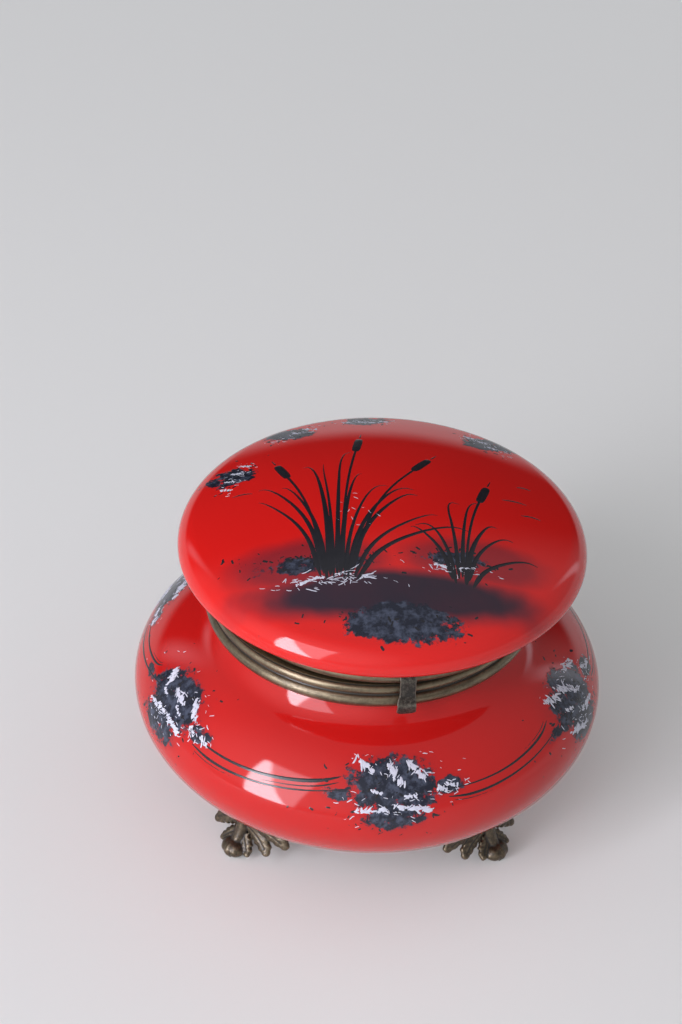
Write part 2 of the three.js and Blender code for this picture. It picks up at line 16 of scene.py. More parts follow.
import bpy
import numpy as np
from mathutils import Matrix, Vector


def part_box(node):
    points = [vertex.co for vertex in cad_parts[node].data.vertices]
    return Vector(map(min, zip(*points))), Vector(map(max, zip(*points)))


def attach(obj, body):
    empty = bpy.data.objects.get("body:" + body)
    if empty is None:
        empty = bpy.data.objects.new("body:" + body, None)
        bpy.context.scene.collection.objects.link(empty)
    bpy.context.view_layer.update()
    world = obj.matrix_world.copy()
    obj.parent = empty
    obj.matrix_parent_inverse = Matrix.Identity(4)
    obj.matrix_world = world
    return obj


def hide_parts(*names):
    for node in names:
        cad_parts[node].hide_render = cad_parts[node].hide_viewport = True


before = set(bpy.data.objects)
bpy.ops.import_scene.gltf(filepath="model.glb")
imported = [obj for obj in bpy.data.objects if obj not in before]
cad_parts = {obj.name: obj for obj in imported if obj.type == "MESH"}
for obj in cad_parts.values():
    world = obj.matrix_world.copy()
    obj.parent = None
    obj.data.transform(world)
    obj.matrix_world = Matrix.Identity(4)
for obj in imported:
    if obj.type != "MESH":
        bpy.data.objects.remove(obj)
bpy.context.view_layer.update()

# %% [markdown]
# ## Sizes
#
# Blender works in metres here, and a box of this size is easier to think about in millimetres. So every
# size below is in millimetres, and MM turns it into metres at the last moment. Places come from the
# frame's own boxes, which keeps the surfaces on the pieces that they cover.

MM = 0.001


def box_mm(node):
    low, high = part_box(node)
    return low / MM, high / MM


bowl_low, bowl_high = box_mm("bowl_glass")
lid_low, lid_high = box_mm("lid_glass")
ring_low, ring_high = box_mm("foot_ring")

BOWL_RADIUS = bowl_high.x
BOWL_BASE = bowl_low.z
LID_RADIUS = (lid_high.x - lid_low.x) / 2
LID_CENTRE = (lid_high.x + lid_low.x) / 2
COLLAR_BOTTOM = box_mm("bowl_collar")[0].z
LID_COLLAR_BOTTOM, LID_COLLAR_TOP = (corner.z for corner in box_mm("lid_collar"))
print(f"bowl {2 * BOWL_RADIUS:.1f} mm across, lid {2 * LID_RADIUS:.1f} mm across, {lid_high.z:.1f} mm high")

# %% [markdown]
# ## The camera
#
# The photograph looks down on the box at about 36 degrees, from a little to the left of the tongue. Its
# angle of view is narrow, so the box keeps its proportions. The camera is placed from those few facts: the
# direction it looks in, its distance from the middle of the bowl, and the pixel where that middle falls.

# %% Camera
IMAGE_WIDTH, IMAGE_HEIGHT = 682, 1024
FOCAL_PIXELS = 2200
AIM_PIXEL = (367.0, 670.4)
SENSOR = 36  # mm along the image's long side
CAMERA_AZIMUTH = math.radians(-9.8)
CAMERA_ELEVATION = math.radians(36.3)
CAMERA_ROLL = math.radians(-2.1)
CAMERA_DISTANCE = 0.620
BOWL_LOWER_HEIGHT = 22.2  # from the glass's base to its widest circle
BOWL_EQUATOR = BOWL_BASE + BOWL_LOWER_HEIGHT
AIM = Vector((0, 0, BOWL_EQUATOR * MM))


def place_camera():
    forward = Vector((0, math.cos(CAMERA_ELEVATION), -math.sin(CAMERA_ELEVATION)))
    level = Vector((1, 0, 0))
    steep = forward.cross(level)
    right = level * math.cos(CAMERA_ROLL) + steep * math.sin(CAMERA_ROLL)
    down = steep * math.cos(CAMERA_ROLL) - level * math.sin(CAMERA_ROLL)
    across = (AIM_PIXEL[0] - IMAGE_WIDTH / 2) / FOCAL_PIXELS
    below = (AIM_PIXEL[1] - IMAGE_HEIGHT / 2) / FOCAL_PIXELS
    to_aim = (forward + right * across + down * below).normalized()
    turn = Matrix.Rotation(CAMERA_AZIMUTH, 3, "Z")
    axes = Matrix((turn @ right, turn @ -down, turn @ -forward)).transposed()
    camera = bpy.data.objects.new("camera", bpy.data.cameras.new("camera"))
    bpy.context.scene.collection.objects.link(camera)
    camera.matrix_world = Matrix.Translation(AIM - turn @ to_aim * CAMERA_DISTANCE) @ axes.to_4x4()
    camera.data.sensor_width = SENSOR
    camera.data.lens = FOCAL_PIXELS * SENSOR / IMAGE_HEIGHT
    camera.data.clip_start = 0.01
    return camera


camera = place_camera()
bpy.context.scene.camera = camera
print("camera at", [round(v, 3) for v in camera.location], "lens", round(camera.data.lens, 1), "mm")

# %% [markdown]
# ## A short way to write materials
#
# A procedural material is mostly arithmetic on masks: where is the paint, how worn is the brass. Written
# node by node it is long and hard to read. Two small classes let it be written as arithmetic. A Field
# wraps one socket, and Python's operators on it add Math nodes. A Finish holds the material and has the
# one method that adds any other node. Lamps and the world have nodes too, and a Finish can be put over
# those as well.

# %% Fields and finishes
class Field:
    """One output socket. Operators on it add Math nodes to its material."""

    def __init__(self, finish, socket):
        self.finish, self.socket = finish, socket

    def maths(self, operation, *values):
        return self.finish.node("Math", {"operation": operation}, dict(enumerate(values)))

    def output(self, name):
        return Field(self.finish, self.socket.node.outputs[name])

    def __add__(self, other):
        return self.maths("ADD", self, other)

    def __sub__(self, other):
        return self.maths("SUBTRACT", self, other)

    def __rsub__(self, other):
        return self.maths("SUBTRACT", other, self)

    def __mul__(self, other):
        return self.maths("MULTIPLY", self, other)

    def __truediv__(self, other):
        return self.maths("DIVIDE", self, other)

    def __pow__(self, other):
        return self.maths("POWER", self, other)

    __radd__, __rmul__ = __add__, __mul__

    def larger(self, other):
        return self.maths("MAXIMUM", self, other)

    def step(self, low, high):
        """0 below low and 1 above high, with a smooth rise between."""
        settings = {"interpolation_type": "SMOOTHSTEP", "clamp": True}
        return self.finish.node("MapRange", settings, {"Value": self, "From Min": low, "From Max": high})


class Finish:
    """A Principled material, with one method that adds nodes."""

    def __init__(self, name, **sockets):
        self.material = bpy.data.materials.new(name)
        self.material.use_nodes = True
        self.tree = self.material.node_tree
        self.shader = self.tree.nodes["Principled BSDF"]
        self.set(**sockets)

    @classmethod
    def over(cls, owner, shader):
        """For a lamp or the world, whose own shader node is already there."""
        finish = cls.__new__(cls)
        owner.use_nodes = True
        finish.tree = owner.node_tree
        finish.shader = finish.tree.nodes[shader]
        return finish

    def set(self, **sockets):
        for name, value in sockets.items():
            self.feed(self.shader.inputs[name.replace("_", " ").title().replace("Ior", "IOR")], value)

    def feed(self, socket, value):
        if isinstance(value, Field):
            self.tree.links.new(value.socket, socket)
        else:
            socket.default_value = value

    def node(self, kind, settings=None, values=None, output=0):
        node = self.tree.nodes.new("ShaderNode" + kind)
        for name, value in (settings or {}).items():
            setattr(node, name, value)
        for name, value in (values or {}).items():
            self.feed(node.inputs[name], value)
        return Field(self, node.outputs[output])

    def place(self):
        """The piece's own coordinates, in millimetres."""
        metres = self.node("TexCoord", output="Object")
        return self.node("VectorMath", {"operation": "SCALE"}, {0: metres, "Scale": 1 / MM})

    def noise(self, size, detail=2.0, roughness=0.5, where=None):
        """Noise from 0 to 1 whose patches are about size millimetres across."""
        values = {"Scale": 1 / size, "Detail": detail, "Roughness": roughness}
        return self.node("TexNoise", None, {"Vector": where or self.place(), **values})

    def split(self, vector, axes="XYZ"):
        parts = self.node("SeparateXYZ", None, {0: vector})
        return [parts.output(axis) for axis in axes]

    def mix(self, factor, first, second):
        """Colours first and second, by a factor from 0 to 1."""
        return self.node("Mix", {"data_type": "RGBA"}, {0: factor, 6: first, 7: second}, 2)

    def bump(self, height, depth, strength=1.0):
        """A normal from a height of 0 to 1, where 1 stands depth millimetres proud."""
        values = {"Height": height, "Distance": depth * MM, "Strength": strength}
        self.set(normal=self.node("Bump", None, values))

# %% [markdown]
# ## The lights
#
# Polished glass shows its lights as shapes, so the lights are placed by what the glass has to show. A tall
# window on the front left lies on the bowl's shoulder and on the lid's rounded edge, with a curtain drawn
# over its upper right part. Two dim upright strips give the soft streaks at the ends of the lid. Real windows
# have no hard, even rectangle of light, so each lamp fades at its edges.
#
# The level is plain: a pale card facing the window would come out just under white.

# %% Lights
WINDOW_COLOUR = (0.92, 0.90, 1.0)
CURTAIN = 0.22  # how much light the curtained part of the window lets through
CURTAIN_SLANT, CURTAIN_EDGE = 0.7, (0.78, 0.88)
WINDOW_AZIMUTH, WINDOW_ELEVATION = -50, 24


def direction(azimuth, elevation):
    """Azimuth 0 is in front of the box (-Y), and 90 is on its right (+X)."""
    a, e = math.radians(azimuth), math.radians(elevation)
    return Vector((math.sin(a) * math.cos(e), -math.cos(a) * math.cos(e), math.sin(e)))


def panel_light(name, azimuth, elevation, distance, size, watts, fade=0.2, curtain=False):
    data = bpy.data.lights.new(name, "AREA")
    data.shape = "RECTANGLE"
    data.size, data.size_y = size
    data.energy = watts
    data.color = WINDOW_COLOUR
    glow = Finish.over(data, "Emission")
    across, up = glow.split(glow.node("NewGeometry", output="Parametric"), "XY")
    starts = across.step(0, fade) * up.step(0, fade)
    strength = starts * (1 - across.step(1 - fade, 1)) * (1 - up.step(1 - fade, 1))
    if curtain:
        drawn = (across + up * CURTAIN_SLANT).step(*CURTAIN_EDGE)
        strength = strength * (1 - drawn * (1 - CURTAIN))
    glow.set(strength=strength)
    light = bpy.data.objects.new(name, data)
    bpy.context.scene.collection.objects.link(light)
    towards = direction(azimuth, elevation)
    light.location = AIM + towards * distance
    light.rotation_euler = towards.to_track_quat("Z", "Y").to_euler()


panel_light("window", WINDOW_AZIMUTH, WINDOW_ELEVATION, 1.3, (0.62, 1.24), 35.0, fade=0.08, curtain=True)
panel_light("left_strip", -138, 24, 1.6, (0.40, 1.40), 1.8, fade=0.5)
panel_light("right_strip", 116, 20, 1.6, (0.24, 1.30), 1.2, fade=0.4)

# %% [markdown]
# ## The floor and the room
#
# The box stands on a wide pale table, which runs out into a plain pale backdrop. The room round it is what
# the glass and the brass mirror: brighter towards the window, plain grey overhead, dark behind the box, and
# as pale as the backdrop just above the table's far edge.

# %% Floor and room
FLOOR_COLOUR = (0.68, 0.672, 0.655, 1)
FLOOR_NEAR, FLOOR_FAR = 0.35, 1.2  # metres: lit as a table up to here, and plain backdrop from there on
FLOOR_SIZE = 8
ROOM_COLOUR = (0.95, 0.97, 1.0, 1)
ROOM_DARK, ROOM_GREY, ROOM_BRIGHT, BACKDROP = 0.03, 0.38, 1.0, 0.62
CEILING_LIGHT = 1.3  # how much more the room lights than it shows
FLOOR_GLOW = 0.15  # share of the backdrop's light that the near table has
WINDOW_GLOW, DARK_BEHIND, SKYLINE = (0.55, 1.0), (0.48, 0.72), (0.03, 0.18)  # where each starts and ends
BLACK = (0, 0, 0, 1)


def seen(finish):
    """1 for rays from the camera, a mirror or a clear body, and 0 for rays that light other things."""
    path = finish.node("LightPath")
    mirror = path.output("Is Glossy Ray").larger(path.output("Is Transmission Ray"))
    return path.output("Is Camera Ray").larger(mirror)


def floor_finish():
    finish = Finish("pale_floor", emission_strength=BACKDROP, specular_ior_level=0.2)
    where = finish.node("TexCoord", output="Object")
    away = finish.node("VectorMath", {"operation": "LENGTH"}, {0: where}, "Value")
    far = away.step(FLOOR_NEAR, FLOOR_FAR)
    glow = seen(finish) * (FLOOR_GLOW + (1 - FLOOR_GLOW) * far)
    finish.set(base_color=finish.mix(far, FLOOR_COLOUR, BLACK),
               roughness=0.82 + 0.1 * finish.noise(4.0, detail=3),
               emission_color=finish.mix(glow, BLACK, ROOM_COLOUR))
    return finish.material


def room(finish):
    """How bright the room is in each direction."""
    facing = finish.node("TexCoord", output="Generated")
    backwards, up = finish.split(facing, "YZ")
    to_window = direction(WINDOW_AZIMUTH, WINDOW_ELEVATION)
    near_window = finish.node("VectorMath", {"operation": "DOT_PRODUCT"}, {0: facing, 1: to_window}, "Value")
    lit = ROOM_GREY + near_window.step(*WINDOW_GLOW) * (ROOM_BRIGHT - ROOM_GREY)
    lit = lit + backwards.step(*DARK_BEHIND) * (ROOM_DARK - lit)
    camera = finish.node("LightPath", output="Is Camera Ray")
    backdrop = seen(finish) * (1 - up.step(*SKYLINE)).larger(camera)
    return (lit + backdrop * (BACKDROP - lit)) * (CEILING_LIGHT + seen(finish) * (1 - CEILING_LIGHT))


bpy.ops.object.select_all(action="DESELECT")
bpy.ops.mesh.primitive_plane_add(size=FLOOR_SIZE)
floor = bpy.context.object
floor.name = "floor"
floor.data.materials.append(floor_finish())

studio = bpy.data.worlds.new("studio")
sky = Finish.over(studio, "Background")
sky.set(color=ROOM_COLOUR, strength=room(sky))
bpy.context.scene.world = studio
bpy.context.scene.view_settings.view_transform = "Standard"
print("floor", FLOOR_SIZE, "m wide, room", ROOM_DARK, "to", ROOM_BRIGHT)

# %% [markdown]
# ## Steps that come back
#
# Most pieces go through the same few steps: a shape is added, Edit Mode entered and left, normals turned
# outwards, parts joined, modifiers applied. Vertices are read and written as arrays, which is quick.

# %% Steps that come back
SMOOTH_ANGLE = math.radians(38)


def added(add, **settings):
    """The object that one of Blender's Add operators makes, with nothing else selected."""
    bpy.ops.object.select_all(action="DESELECT")
    add(**settings)
    return bpy.context.object


@contextmanager
def edit_mode(everything=True):
    """Edit Mode for the active object, with everything selected or the selection as it was."""
    bpy.ops.object.mode_set(mode="EDIT")
    if everything:
        bpy.ops.mesh.select_all(action="SELECT")
    yield
    bpy.ops.object.mode_set(mode="OBJECT")


def face_outwards():
    bpy.ops.mesh.select_all(action="SELECT")
    bpy.ops.mesh.normals_make_consistent(inside=False)


def extrude(move):
    bpy.ops.mesh.extrude_region_move(TRANSFORM_OT_translate={"value": move})


def join(parts):
    """Joins objects into the first of them."""
    bpy.ops.object.select_all(action="DESELECT")
    for part in parts:
        part.select_set(True)
    bpy.context.view_layer.objects.active = parts[0]
    bpy.ops.object.join()
    return parts[0]


def apply_modifiers(piece):
    for name in [modifier.name for modifier in piece.modifiers]:
        bpy.ops.object.modifier_apply(modifier=name)


def smooth_all(piece):
    for polygon in piece.data.polygons:
        polygon.use_smooth = True


def vertex_rows(piece, name="co"):
    """The places or the normals of a piece's vertices, one row each."""
    rows = np.empty(len(piece.data.vertices) * 3)
    piece.data.vertices.foreach_get(name, rows)
    return rows.reshape(-1, 3)


def set_places(piece, places):
    piece.data.vertices.foreach_set("co", np.ascontiguousarray(places).ravel())
    piece.data.update()


def select_vertices(piece, chosen):
    for layer in (piece.data.polygons, piece.data.edges):
        layer.foreach_set("select", np.zeros(len(layer), bool))
    piece.data.vertices.foreach_set("select", chosen)


def ease(shares):
    """Shares from 0 to 1, with a soft start and end."""
    return shares * shares * (3 - 2 * shares)


def finish_piece(piece, materials, body, slot, *replaced):
    """Gives a piece its materials, and says what it moves with and which solids it stands for."""
    for material in materials:
        piece.data.materials.append(material)
    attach(piece, body)
    if replaced:
        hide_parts(*replaced)
    triangles = sum(len(p.vertices) - 2 for p in piece.data.polygons)
    print(f"{piece.name}: {triangles} triangles")


# %% [markdown]
# ## Turning
#
# Bowl, lid, collars and foot ring are all bodies of revolution: the glass was blown and turned, and the
# brass was spun and rolled. In Blender such a body is one outline spun round an axis. The outline starts
# from a single vertex, which is extruded from point to point, and the Spin operator sweeps it round Z.
# After a spin the first and last copy of the outline lie on each other, so doubles are merged and the
# normals are made to point outwards.

# %% Outlines and turning
TURNED_STEPS = 192
MERGE_DISTANCE = 1e-7


def arc(centre, radii, start, end, steps):
    """Points (radius, height) along an ellipse, from one angle to another in degrees."""
    angles = np.radians(np.linspace(start, end, steps + 1))
    return [(centre[0] + radii[0] * math.cos(a), centre[1] + radii[1] * math.sin(a)) for a in angles]


def bend(start, corner, end, steps):
    """Points along a curve that leaves start and reaches end in the directions of corner."""
    start, corner, end = (np.array(p, float) for p in (start, corner, end))
    t = np.linspace(0, 1, steps + 1)[:, None]
    return [tuple(p) for p in (1 - t) ** 2 * start + 2 * t * (1 - t) * corner + t**2 * end]


def eased(corner, before, after, steps):
    """A corner that is rounded off, from one small move away from it to another."""
    start, end = ((corner[0] + move[0], corner[1] + move[1]) for move in (before, after))
    return bend(start, corner, end, steps)


def turn(name, outline, centre_x=0.0, steps=TURNED_STEPS):
    """Spins a closed outline of (radius, height), in millimetres, into a piece that stands in place."""
    piece = added(bpy.ops.mesh.primitive_plane_add, size=MM)
    piece.name = piece.data.name = name
    with edit_mode():
        bpy.ops.mesh.merge(type="CENTER")
        bpy.ops.transform.translate(value=(outline[0][0] * MM, 0, outline[0][1] * MM))
        for here, there in zip(outline, outline[1:]):
            extrude(((there[0] - here[0]) * MM, 0, (there[1] - here[1]) * MM))
        bpy.ops.mesh.select_all(action="SELECT")
        bpy.ops.mesh.spin(steps=steps, angle=2 * math.pi, center=(0, 0, 0), axis=(0, 0, 1))
        bpy.ops.mesh.select_all(action="SELECT")
        bpy.ops.mesh.remove_doubles(threshold=MERGE_DISTANCE)
        bpy.ops.mesh.normals_make_consistent(inside=False)
        bpy.ops.transform.translate(value=(centre_x * MM, 0, 0))
    bpy.ops.object.shade_smooth_by_angle(angle=SMOOTH_ANGLE)
    return piece


# %% [markdown]
# ## The glass bowl
#
# The bowl was blown in red glass over a thin casing of opal white, so it is red outside and milky
# inside. Its belly is two half ellipses that meet at the widest circle, and a soft hollow curve leads up
# into a straight neck, which the collar hides. The outline goes up the outside and down the inside, so
# that the wall has its real thickness and the rim closes by itself.

# %% Bowl outline
BOWL_WALL = 3.4
NECK_RADIUS, NECK_WALL = 41.0, 3.2
SHOULDER_RISE = 28.0
SHOULDER_BLEND = 6.5
BASE_RADIUS = 42.5
BASE_RIM = 2.4
COVE_RADIUS, COVE_RISE = 52.5, 2.0
BOWL_FLOOR = 4.6
KICK_INSET, KICK_DEPTH = 5.0, 1.4

cove_z = BOWL_BASE + BASE_RIM + COVE_RISE
belly_depth = (BOWL_EQUATOR - cove_z) / math.sqrt(1 - (COVE_RADIUS / BOWL_RADIUS) ** 2)


def degrees_at(height, semi_height):
    return math.degrees(math.asin(height / semi_height))


def shoulder(radius, rise, neck_radius, blend_radius, steps):
    """From the widest circle up to the straight neck."""
    blend_height = rise * math.sqrt(1 - (blend_radius / radius) ** 2)
    slope = (rise / radius) ** 2 * blend_radius / blend_height
    corner = (neck_radius, BOWL_EQUATOR + blend_height + (blend_radius - neck_radius) * slope)
    run = math.hypot(blend_radius - neck_radius, corner[1] - BOWL_EQUATOR - blend_height)
    start = (blend_radius, BOWL_EQUATOR + blend_height)
    belly = arc((0, BOWL_EQUATOR), (radius, rise), 0, degrees_at(blend_height, rise), steps)
    return belly + bend(start, corner, (neck_radius, corner[1] + run), steps // 2)[1:]


def bowl_outline():
    neck_inner = NECK_RADIUS - NECK_WALL
    inner_radius, inner_depth = BOWL_RADIUS - BOWL_WALL, belly_depth - BOWL_WALL
    floor_z = BOWL_BASE + BOWL_FLOOR
    floor_angle = degrees_at(BOWL_EQUATOR - floor_z, inner_depth)
    cove_angle = degrees_at(BOWL_EQUATOR - cove_z, belly_depth)
    blend = NECK_RADIUS + SHOULDER_BLEND
    inside = shoulder(inner_radius, SHOULDER_RISE - BOWL_WALL, neck_inner, blend - NECK_WALL, 16)
    kick, edge = BASE_RADIUS - KICK_INSET, 0.5
    return [
        (0, BOWL_BASE + KICK_DEPTH),
        (kick, BOWL_BASE + KICK_DEPTH),
        *eased((kick + 1.2, BOWL_BASE), (-0.6, 0.6), (0.8, 0), 4),
        *eased((BASE_RADIUS, BOWL_BASE), (-edge, 0), (0, edge), 4),
        *eased((BASE_RADIUS, BOWL_BASE + BASE_RIM), (0, -edge), (1, 0.4), 4),
        *arc((0, BOWL_EQUATOR), (BOWL_RADIUS, belly_depth), -cove_angle, 0, 26)[:-1],
        *shoulder(BOWL_RADIUS, SHOULDER_RISE, NECK_RADIUS, blend, 30),
        *eased((NECK_RADIUS, bowl_high.z), (0, -edge), (-edge, 0), 3),
        *eased((neck_inner, bowl_high.z), (edge, 0), (0, -edge), 3),
        *inside[::-1],
        *arc((0, BOWL_EQUATOR), (inner_radius, inner_depth), 0, -floor_angle, 18)[1:],
        (0, floor_z),
    ]


bowl = turn("bowl_glass_body", bowl_outline())

# %% [markdown]
# ## The glass lid
#
# The lid is a shallow dome that overhangs its collar like a mushroom cap. The dome turns down in a rounded
# shoulder, which shows its lights as thin bright bands all the way round. The underside curves in to a flat,
# and a short neck goes down into the collar.

# %% Lid outline
LID_WALL = 3.4
LID_NECK_OUTER, LID_NECK_INNER = 41.1, 37.7
RIM_WIDTH, RIM_RISE = 13.5, 4.8
LID_SHOULDER_WIDTH, LID_SHOULDER_RISE = 9.0, 7.0
DOME_SLOPE = 20  # degrees from level, where the dome meets its shoulder
PAINT_ROOM = 0.06  # the dome lies this much under its solid's top, to leave room for the paint
UNDERSIDE = LID_COLLAR_TOP + 0.3
RIM_Z = UNDERSIDE + RIM_RISE - PAINT_ROOM


def lid_upper(wall, shoulder_steps, dome_steps):
    """From the widest circle up the shoulder and over the dome to the top."""
    width, rise = LID_SHOULDER_WIDTH - wall, LID_SHOULDER_RISE - wall
    slope = math.radians(DOME_SLOPE)
    end = math.degrees(math.atan(rise / (width * math.tan(slope))))
    curve = arc((LID_RADIUS - LID_SHOULDER_WIDTH, RIM_Z), (width, rise), 0, end, shoulder_steps)
    edge_radius, edge_z = curve[-1]
    sphere = edge_radius / math.sin(slope)
    middle = (0, edge_z - sphere * math.cos(slope))
    return curve + arc(middle, (sphere, sphere), 90 - DOME_SLOPE, 90, dome_steps)[1:]


lid_skin = lid_upper(0, 26, 34)


def lid_outline():
    rim_centre = (LID_RADIUS - RIM_WIDTH, RIM_Z)
    inside_centre = (LID_RADIUS - LID_SHOULDER_WIDTH, RIM_Z)
    inside_under = UNDERSIDE + LID_WALL
    return [
        (LID_NECK_INNER, lid_low.z),
        (LID_NECK_OUTER, lid_low.z),
        (LID_NECK_OUTER, UNDERSIDE),
        *arc(rim_centre, (RIM_WIDTH, RIM_Z - UNDERSIDE), -90, 0, 26),
        *lid_skin[1:],
        *lid_upper(LID_WALL, 14, 20)[::-1],
        *arc(inside_centre, (LID_SHOULDER_WIDTH - LID_WALL, RIM_Z - inside_under), -12, -90, 8),
        *eased((LID_NECK_INNER, inside_under), (1.5, 0), (0, -1.5), 4),
        (LID_NECK_INNER, lid_low.z),
    ]


lid = turn("lid_glass_body", lid_outline(), LID_CENTRE)
print(f"lid top at {lid_skin[-1][1]:.2f} mm, solid {lid_high.z:.2f} mm")

# %% [markdown]
# ## Painting on glass
#
# The sprays are brushed on: a loaded brush leaves a mark with a rounded section that thins out at both
# ends. Such a mark is modelled once, as a flat grid. It is then copied along each path, and every copy is
# laid on the glass by the same formula that made the glass. Real marks have a little body, so black paint
# stands a few hundredths of a millimetre proud, and white enamel up to a fifth of a millimetre.
#
# Marks made of geometry keep their crisp edges at any distance, which a painted texture would lose.

# %% A brush mark
def mark_grid(along, across):
    """One flat mark: where each vertex lies along it (0 to 1) and across it (-1 to 1), and its faces."""
    grid = added(bpy.ops.mesh.primitive_grid_add, x_subdivisions=along, y_subdivisions=across, size=2)
    places = np.array([v.co[:2] for v in grid.data.vertices])
    faces = np.array([p.vertices[:] for p in grid.data.polygons])
    bpy.data.objects.remove(grid)
    return (places[:, 0] + 1) / 2, places[:, 1], faces


LONG_MARK = mark_grid(36, 4)
SHORT_MARK = mark_grid(12, 4)
FINE_MARK = mark_grid(6, 2)  # there are thousands of these, so they have few faces
LOOK_AHEAD = 0.02  # how far ahead and back a mark's direction is read
PAINT_SINK = 0.05  # the edge of a mark lies this far inside the glass, so that no gap shows under it

# How wide a mark is along its length, as a share of its full width.
MARK_SHAPES = {
    "leaf": lambda s: np.sin(np.pi * s**0.75) ** 0.9,
    "blade": lambda s: np.minimum(s * 7, 1) ** 0.6 * (1 - s) ** 0.62,
    "line": lambda s: np.minimum(np.minimum(s * 12, (1 - s) * 6), 1) ** 0.6,
    "dab": lambda s: np.sqrt(np.clip(1 - (2 * s - 1) ** 4, 0, 1)),
}


def along_path(points, shares):
    """Places and sideways directions at shares of the length of a smooth path through the points."""
    points = np.array(points, float)
    dense = points
    for _ in range(3):  # corner cutting rounds the path off and keeps its ends
        near, far = 0.75 * dense[:-1] + 0.25 * dense[1:], 0.25 * dense[:-1] + 0.75 * dense[1:]
        inner = np.stack([near, far], 1).reshape(-1, 2)
        dense = np.vstack([dense[:1], inner, dense[-1:]])
    lengths = np.concatenate([[0], np.cumsum(np.linalg.norm(np.diff(dense, axis=0), axis=1))])

    def place_at(run):
        return np.stack([np.interp(run, lengths, dense[:, k]) for k in (0, 1)], 1)

    run = shares * lengths[-1]
    forward = place_at(run + LOOK_AHEAD) - place_at(run - LOOK_AHEAD)
    forward /= np.linalg.norm(forward, axis=1)[:, None] + 1e-12
    return place_at(run), np.stack([-forward[:, 1], forward[:, 0]], 1)


class Painting:
    """Marks of one colour on one glass piece. lay turns picture places and heights into space."""

    def __init__(self, name, lay):
        self.name, self.lay = name, lay
        self.vertices, self.faces, self.count = [], [], 0

    def mark(self, points, width, height, shape="leaf", grid=SHORT_MARK):
        shares, across, faces = grid
        places, sideways = along_path(points, shares)
        spread = width / 2 * MARK_SHAPES[shape](shares)
        flat = places + sideways * (across * spread)[:, None]
        body = np.sqrt(np.clip(1 - across**2, 0, 1)) * np.minimum(spread / 0.3, 1)
        rise = (height + PAINT_SINK) * body - PAINT_SINK
        self.faces.append(faces + self.count)
        self.vertices.append(self.lay(flat, rise))
        self.count += len(shares)

    def piece(self):
        data = bpy.data.meshes.new(self.name)
        data.from_pydata(np.vstack(self.vertices) * MM, [], np.vstack(self.faces).tolist())
        data.update()
        piece = bpy.data.objects.new(self.name, data)
        bpy.context.scene.collection.objects.link(piece)
        smooth_all(piece)
        return piece


# %% [markdown]
# ## Laying a picture on the lid and a border on the bowl
#
# A place in the lid's picture is (across, up), seen from the front, and the dome gives its height. A place in
# the bowl's border is (distance round the belly, height above the border's middle line). Both ways give
# the outward normal too, along which the paint stands.

# %% Laying paint
PICTURE_TURN = math.radians(-8)
BORDER_Z = BOWL_EQUATOR + 11
BORDER_RADIUS = BOWL_RADIUS * math.sqrt(1 - ((BORDER_Z - BOWL_EQUATOR) / SHOULDER_RISE) ** 2)


def side_normals(points):
    """Unit normals, on the left of a side view's direction."""
    run = np.gradient(points, axis=0)
    return np.stack([-run[:, 1], run[:, 0]], 1) / np.linalg.norm(run, axis=1)[:, None]


skin = np.array(lid_skin[::-1])
skin_normal = side_normals(skin)


def lay_on_lid(flat, rise):
    c, s = math.cos(PICTURE_TURN), math.sin(PICTURE_TURN)
    x, y = flat[:, 0] * c - flat[:, 1] * s, flat[:, 0] * s + flat[:, 1] * c
    radius = np.hypot(x, y) + 1e-9
    height = np.interp(radius, skin[:, 0], skin[:, 1])
    out, up = (np.interp(radius, skin[:, 0], skin_normal[:, k]) for k in (0, 1))
    grow = 1 + out * rise / radius
    return np.stack([x * grow + LID_CENTRE, y * grow, height + up * rise], 1)


def bowl_radius_at(along):
    """The bowl's radius and the height of its half, at a height over the equator."""
    rise_here = np.where(along > 0, SHOULDER_RISE, belly_depth)
    return BOWL_RADIUS * np.sqrt(1 - (along / rise_here) ** 2), rise_here


border_rise = np.linspace(-14, SHOULDER_RISE * 0.97, 300)
border_run = np.cumsum(np.hypot(np.gradient(border_rise), np.gradient(bowl_radius_at(border_rise)[0])))
border_run -= np.interp(BORDER_Z - BOWL_EQUATOR, border_rise, border_run)
near_border = np.abs(border_run) < 14
over_border = border_rise[near_border] + BOWL_EQUATOR - BORDER_Z
SLANT_CURVE, SLANT, _ = np.polyfit(over_border, border_run[near_border], 2)


def lay_on_bowl(flat, rise):
    angle = flat[:, 0] / BORDER_RADIUS
    along = np.interp(flat[:, 1], border_run, border_rise)
    radius, rise_here = bowl_radius_at(along)
    normal = np.stack([radius / BOWL_RADIUS**2, along / rise_here**2], 1)
    normal /= np.linalg.norm(normal, axis=1)[:, None]
    out = np.minimum(radius + normal[:, 0] * rise, BOWL_RADIUS)
    up = BOWL_EQUATOR + along + normal[:, 1] * rise
    return np.stack([out * np.sin(angle), -out * np.cos(angle), up], 1)


# %% [markdown]
# ## Touches of a brush
#
# The white enamel was touched on with a nearly dry bristle brush, pulled sideways. Each touch is a row of
# short slanting streaks, which run into each other in its middle and stay apart at its ends. The loose black
# specks round a sponged patch are single small dabs.

# %% Touches
BLACK_BODY, WHITE_BODY = 0.05, 0.19
rng = np.random.default_rng(7)


def unit(angle):
    return np.array([math.cos(angle), math.sin(angle)])


def near(middle, spread, scatter=0.5):
    """A random place round the middle of a patch."""
    return np.array(middle) + rng.normal(0, scatter, 2) * np.array(spread)


def dab(painting, points, width, body):
    painting.mark(points, width, body, "dab", FINE_MARK)


def squiggle(start, length, heading, wander):
    """Five points of a short, unsteady line."""
    points, here = [np.array(start, float)], heading
    for _ in range(4):
        here += rng.uniform(-wander, wander)
        points.append(points[-1] + length / 4 * unit(here))
    return points


